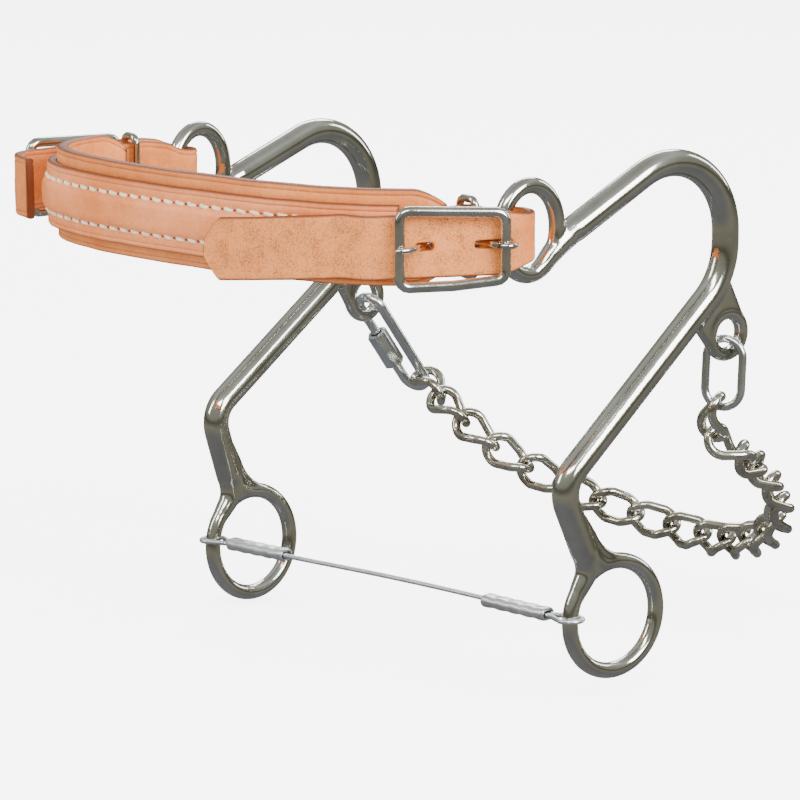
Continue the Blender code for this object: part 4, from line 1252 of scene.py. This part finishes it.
def make_spreader():
    near, far = ring_wire_point("left", NEAR_WRAP), ring_wire_point("right", FAR_WRAP)
    bow = Vector((0, 0, CABLE_BOW))
    near_end, near_ahead, near_side = cable_end(near, near.lerp(far, 0.3) + bow)
    far_end, far_ahead, far_side = cable_end(far, far.lerp(near, 0.3) + bow)
    start, end = far_end[0], near_end[0]
    span = (end - start).length
    run = []
    for i in range(1, 12):
        t = i / 12
        run.append((start - far_ahead * span * t).lerp(end - near_ahead * span * (1 - t), t**2 * (3 - 2 * t)))
    line = smooth_line(list(reversed(far_end)) + run + near_end, 0.35)
    piece("Spreader_cable", strand_mesh(line), "cable", "spreader", ["spreader_cable"], angle=70.0)
    for name, wrap, ahead, side in (("left", near, near_ahead, near_side), ("right", far, far_ahead, far_side)):
        turn = basis(ahead, side, ahead.cross(side))
        spot = wrap - ahead * (FERRULE_START + FERRULE_LENGTH / 2)
        bm = ferrule_shell(FERRULE_LENGTH, (-8.0, -2.6, 2.8, 8.2))
        piece("Ferrule_" + name, bm, "ferrule", "spreader", [name + "_cable_ferrule"],
              Matrix.Translation(spot) @ turn, 50.0)


# Stage, light and camera.

CAMERA_AZIMUTH = math.radians(52.359)
CAMERA_ELEVATION = math.radians(11.812)
CAMERA_ROLL = math.radians(-0.125)
CAMERA_DISTANCE = 1257.0
CAMERA_LENS = 193.98
CAMERA_SHIFT = (0.00095, 0.00064)


def make_camera():
    sin_a, cos_a = math.sin(CAMERA_AZIMUTH), math.cos(CAMERA_AZIMUTH)
    sin_e, cos_e = math.sin(CAMERA_ELEVATION), math.cos(CAMERA_ELEVATION)
    right = Vector((cos_a, sin_a, 0))
    ahead = Vector((-sin_a * cos_e, cos_a * cos_e, -sin_e))
    up = right.cross(ahead)
    right, up = (right * math.cos(CAMERA_ROLL) + up * math.sin(CAMERA_ROLL),
                 up * math.cos(CAMERA_ROLL) - right * math.sin(CAMERA_ROLL))
    data = bpy.data.cameras.new("Camera")
    data.sensor_width = 36
    data.lens = CAMERA_LENS
    data.shift_x, data.shift_y = CAMERA_SHIFT
    data.clip_start = 0.01
    obj = add_object("Camera", data)
    place = (-ahead * CAMERA_DISTANCE - Vector(ORIGIN)) * MM
    obj.matrix_world = Matrix.Translation(place) @ basis(right, up, -ahead)
    bpy.context.scene.camera = obj


def make_floor():
    low = CAD_BOUNDS[0][2] - 0.0004
    bm = bmesh.new()
    bmesh.ops.create_grid(bm, x_segments=8, y_segments=8, size=14.0)
    data = mesh_data("Floor", bm)
    data.materials.append(floor_material())
    obj = add_object("Floor", data)
    obj.location = (0, 0, low)
    obj.visible_glossy = False
    obj.visible_diffuse = False


def area_light(name, place, size, power):
    data = bpy.data.lights.new(name, "AREA")
    data.shape = "RECTANGLE"
    data.size, data.size_y = size
    data.energy = power
    obj = add_object(name, data)
    obj.location = place
    obj.rotation_euler = (AIM - place).to_track_quat("-Z", "Y").to_euler()


ROOM_GLOW = 1.35
EVEN_GLOW = 1.5

# Heights in the reflected room, from straight down at 0 to straight up at 1.
ROOM = [
    (0.0, (0.17, 0.175, 0.19, 1)),
    (0.25, (0.15, 0.155, 0.165, 1)),
    (0.40, (0.22, 0.21, 0.17, 1)),
    (0.50, (0.07, 0.07, 0.055, 1)),
    (0.58, (0.22, 0.225, 0.19, 1)),
    (0.75, (0.27, 0.285, 0.25, 1)),
    (0.88, (0.46, 0.48, 0.46, 1)),
    (1.0, (0.30, 0.30, 0.29, 1)),
]


def make_world():
    """Even white light for the scene, and a grey room with a dark horizon for polished metal to reflect."""
    world = bpy.data.worlds.new("Studio")
    bpy.context.scene.world = world
    world.use_nodes = True
    world.node_tree.nodes.clear()
    n = Nodes(world)
    split = n.add("ShaderNodeSeparateXYZ")
    n.feed(n.place.node.outputs["Generated"], split.inputs[0])
    height = n.add("ShaderNodeMath", operation="MULTIPLY_ADD")
    for source, socket in zip((split.outputs["Z"], 0.5, 0.5), height.inputs):
        n.feed(source, socket)
    room, even = n.add("ShaderNodeBackground"), n.add("ShaderNodeBackground")
    n.feed(n.ramp(height.outputs[0], *ROOM), room.inputs["Color"])
    n.feed(ROOM_GLOW, room.inputs["Strength"])
    n.feed((1, 1, 1, 1), even.inputs["Color"])
    n.feed(EVEN_GLOW, even.inputs["Strength"])
    mixed = n.add("ShaderNodeMixShader")
    glossy = n.add("ShaderNodeLightPath").outputs["Is Glossy Ray"]
    for source, socket in zip((glossy, even.outputs[0], room.outputs[0]), mixed.inputs):
        n.feed(source, socket)
    n.feed(mixed.outputs[0], n.add("ShaderNodeOutputWorld").inputs["Surface"])


AIM = Vector((0.0, 0.08, -0.06))


def around(azimuth, elevation, distance):
    """A place round the object, with the camera's own azimuth at 0."""
    a, e = CAMERA_AZIMUTH + math.radians(azimuth), math.radians(elevation)
    return Vector((math.sin(a) * math.cos(e), -math.cos(a) * math.cos(e), math.sin(e))) * distance + AIM


# Each light: its azimuth, elevation and distance (m) from the aim, its size (m) and its power (W).
LIGHTS = {
    "Key": ((48, 28, 1.3), (0.62, 0.62), 19),
    "Front": ((-6, 44, 1.5), (0.9, 0.3), 11),
    "Left": ((-82, 30, 1.5), (0.25, 0.8), 6),
    "Back": ((178, 34, 1.6), (0.8, 0.4), 9),
    "Right": ((120, 22, 1.5), (0.25, 0.8), 5),
}


def make_lights():
    for name, (spot, size, power) in LIGHTS.items():
        area_light(name, around(*spot), size, power)


make_camera()
make_world()
make_lights()
make_floor()
make_cheeks()
make_noseband()
make_straps()
make_chain()
make_connector()
make_quick_link()
make_spreader()
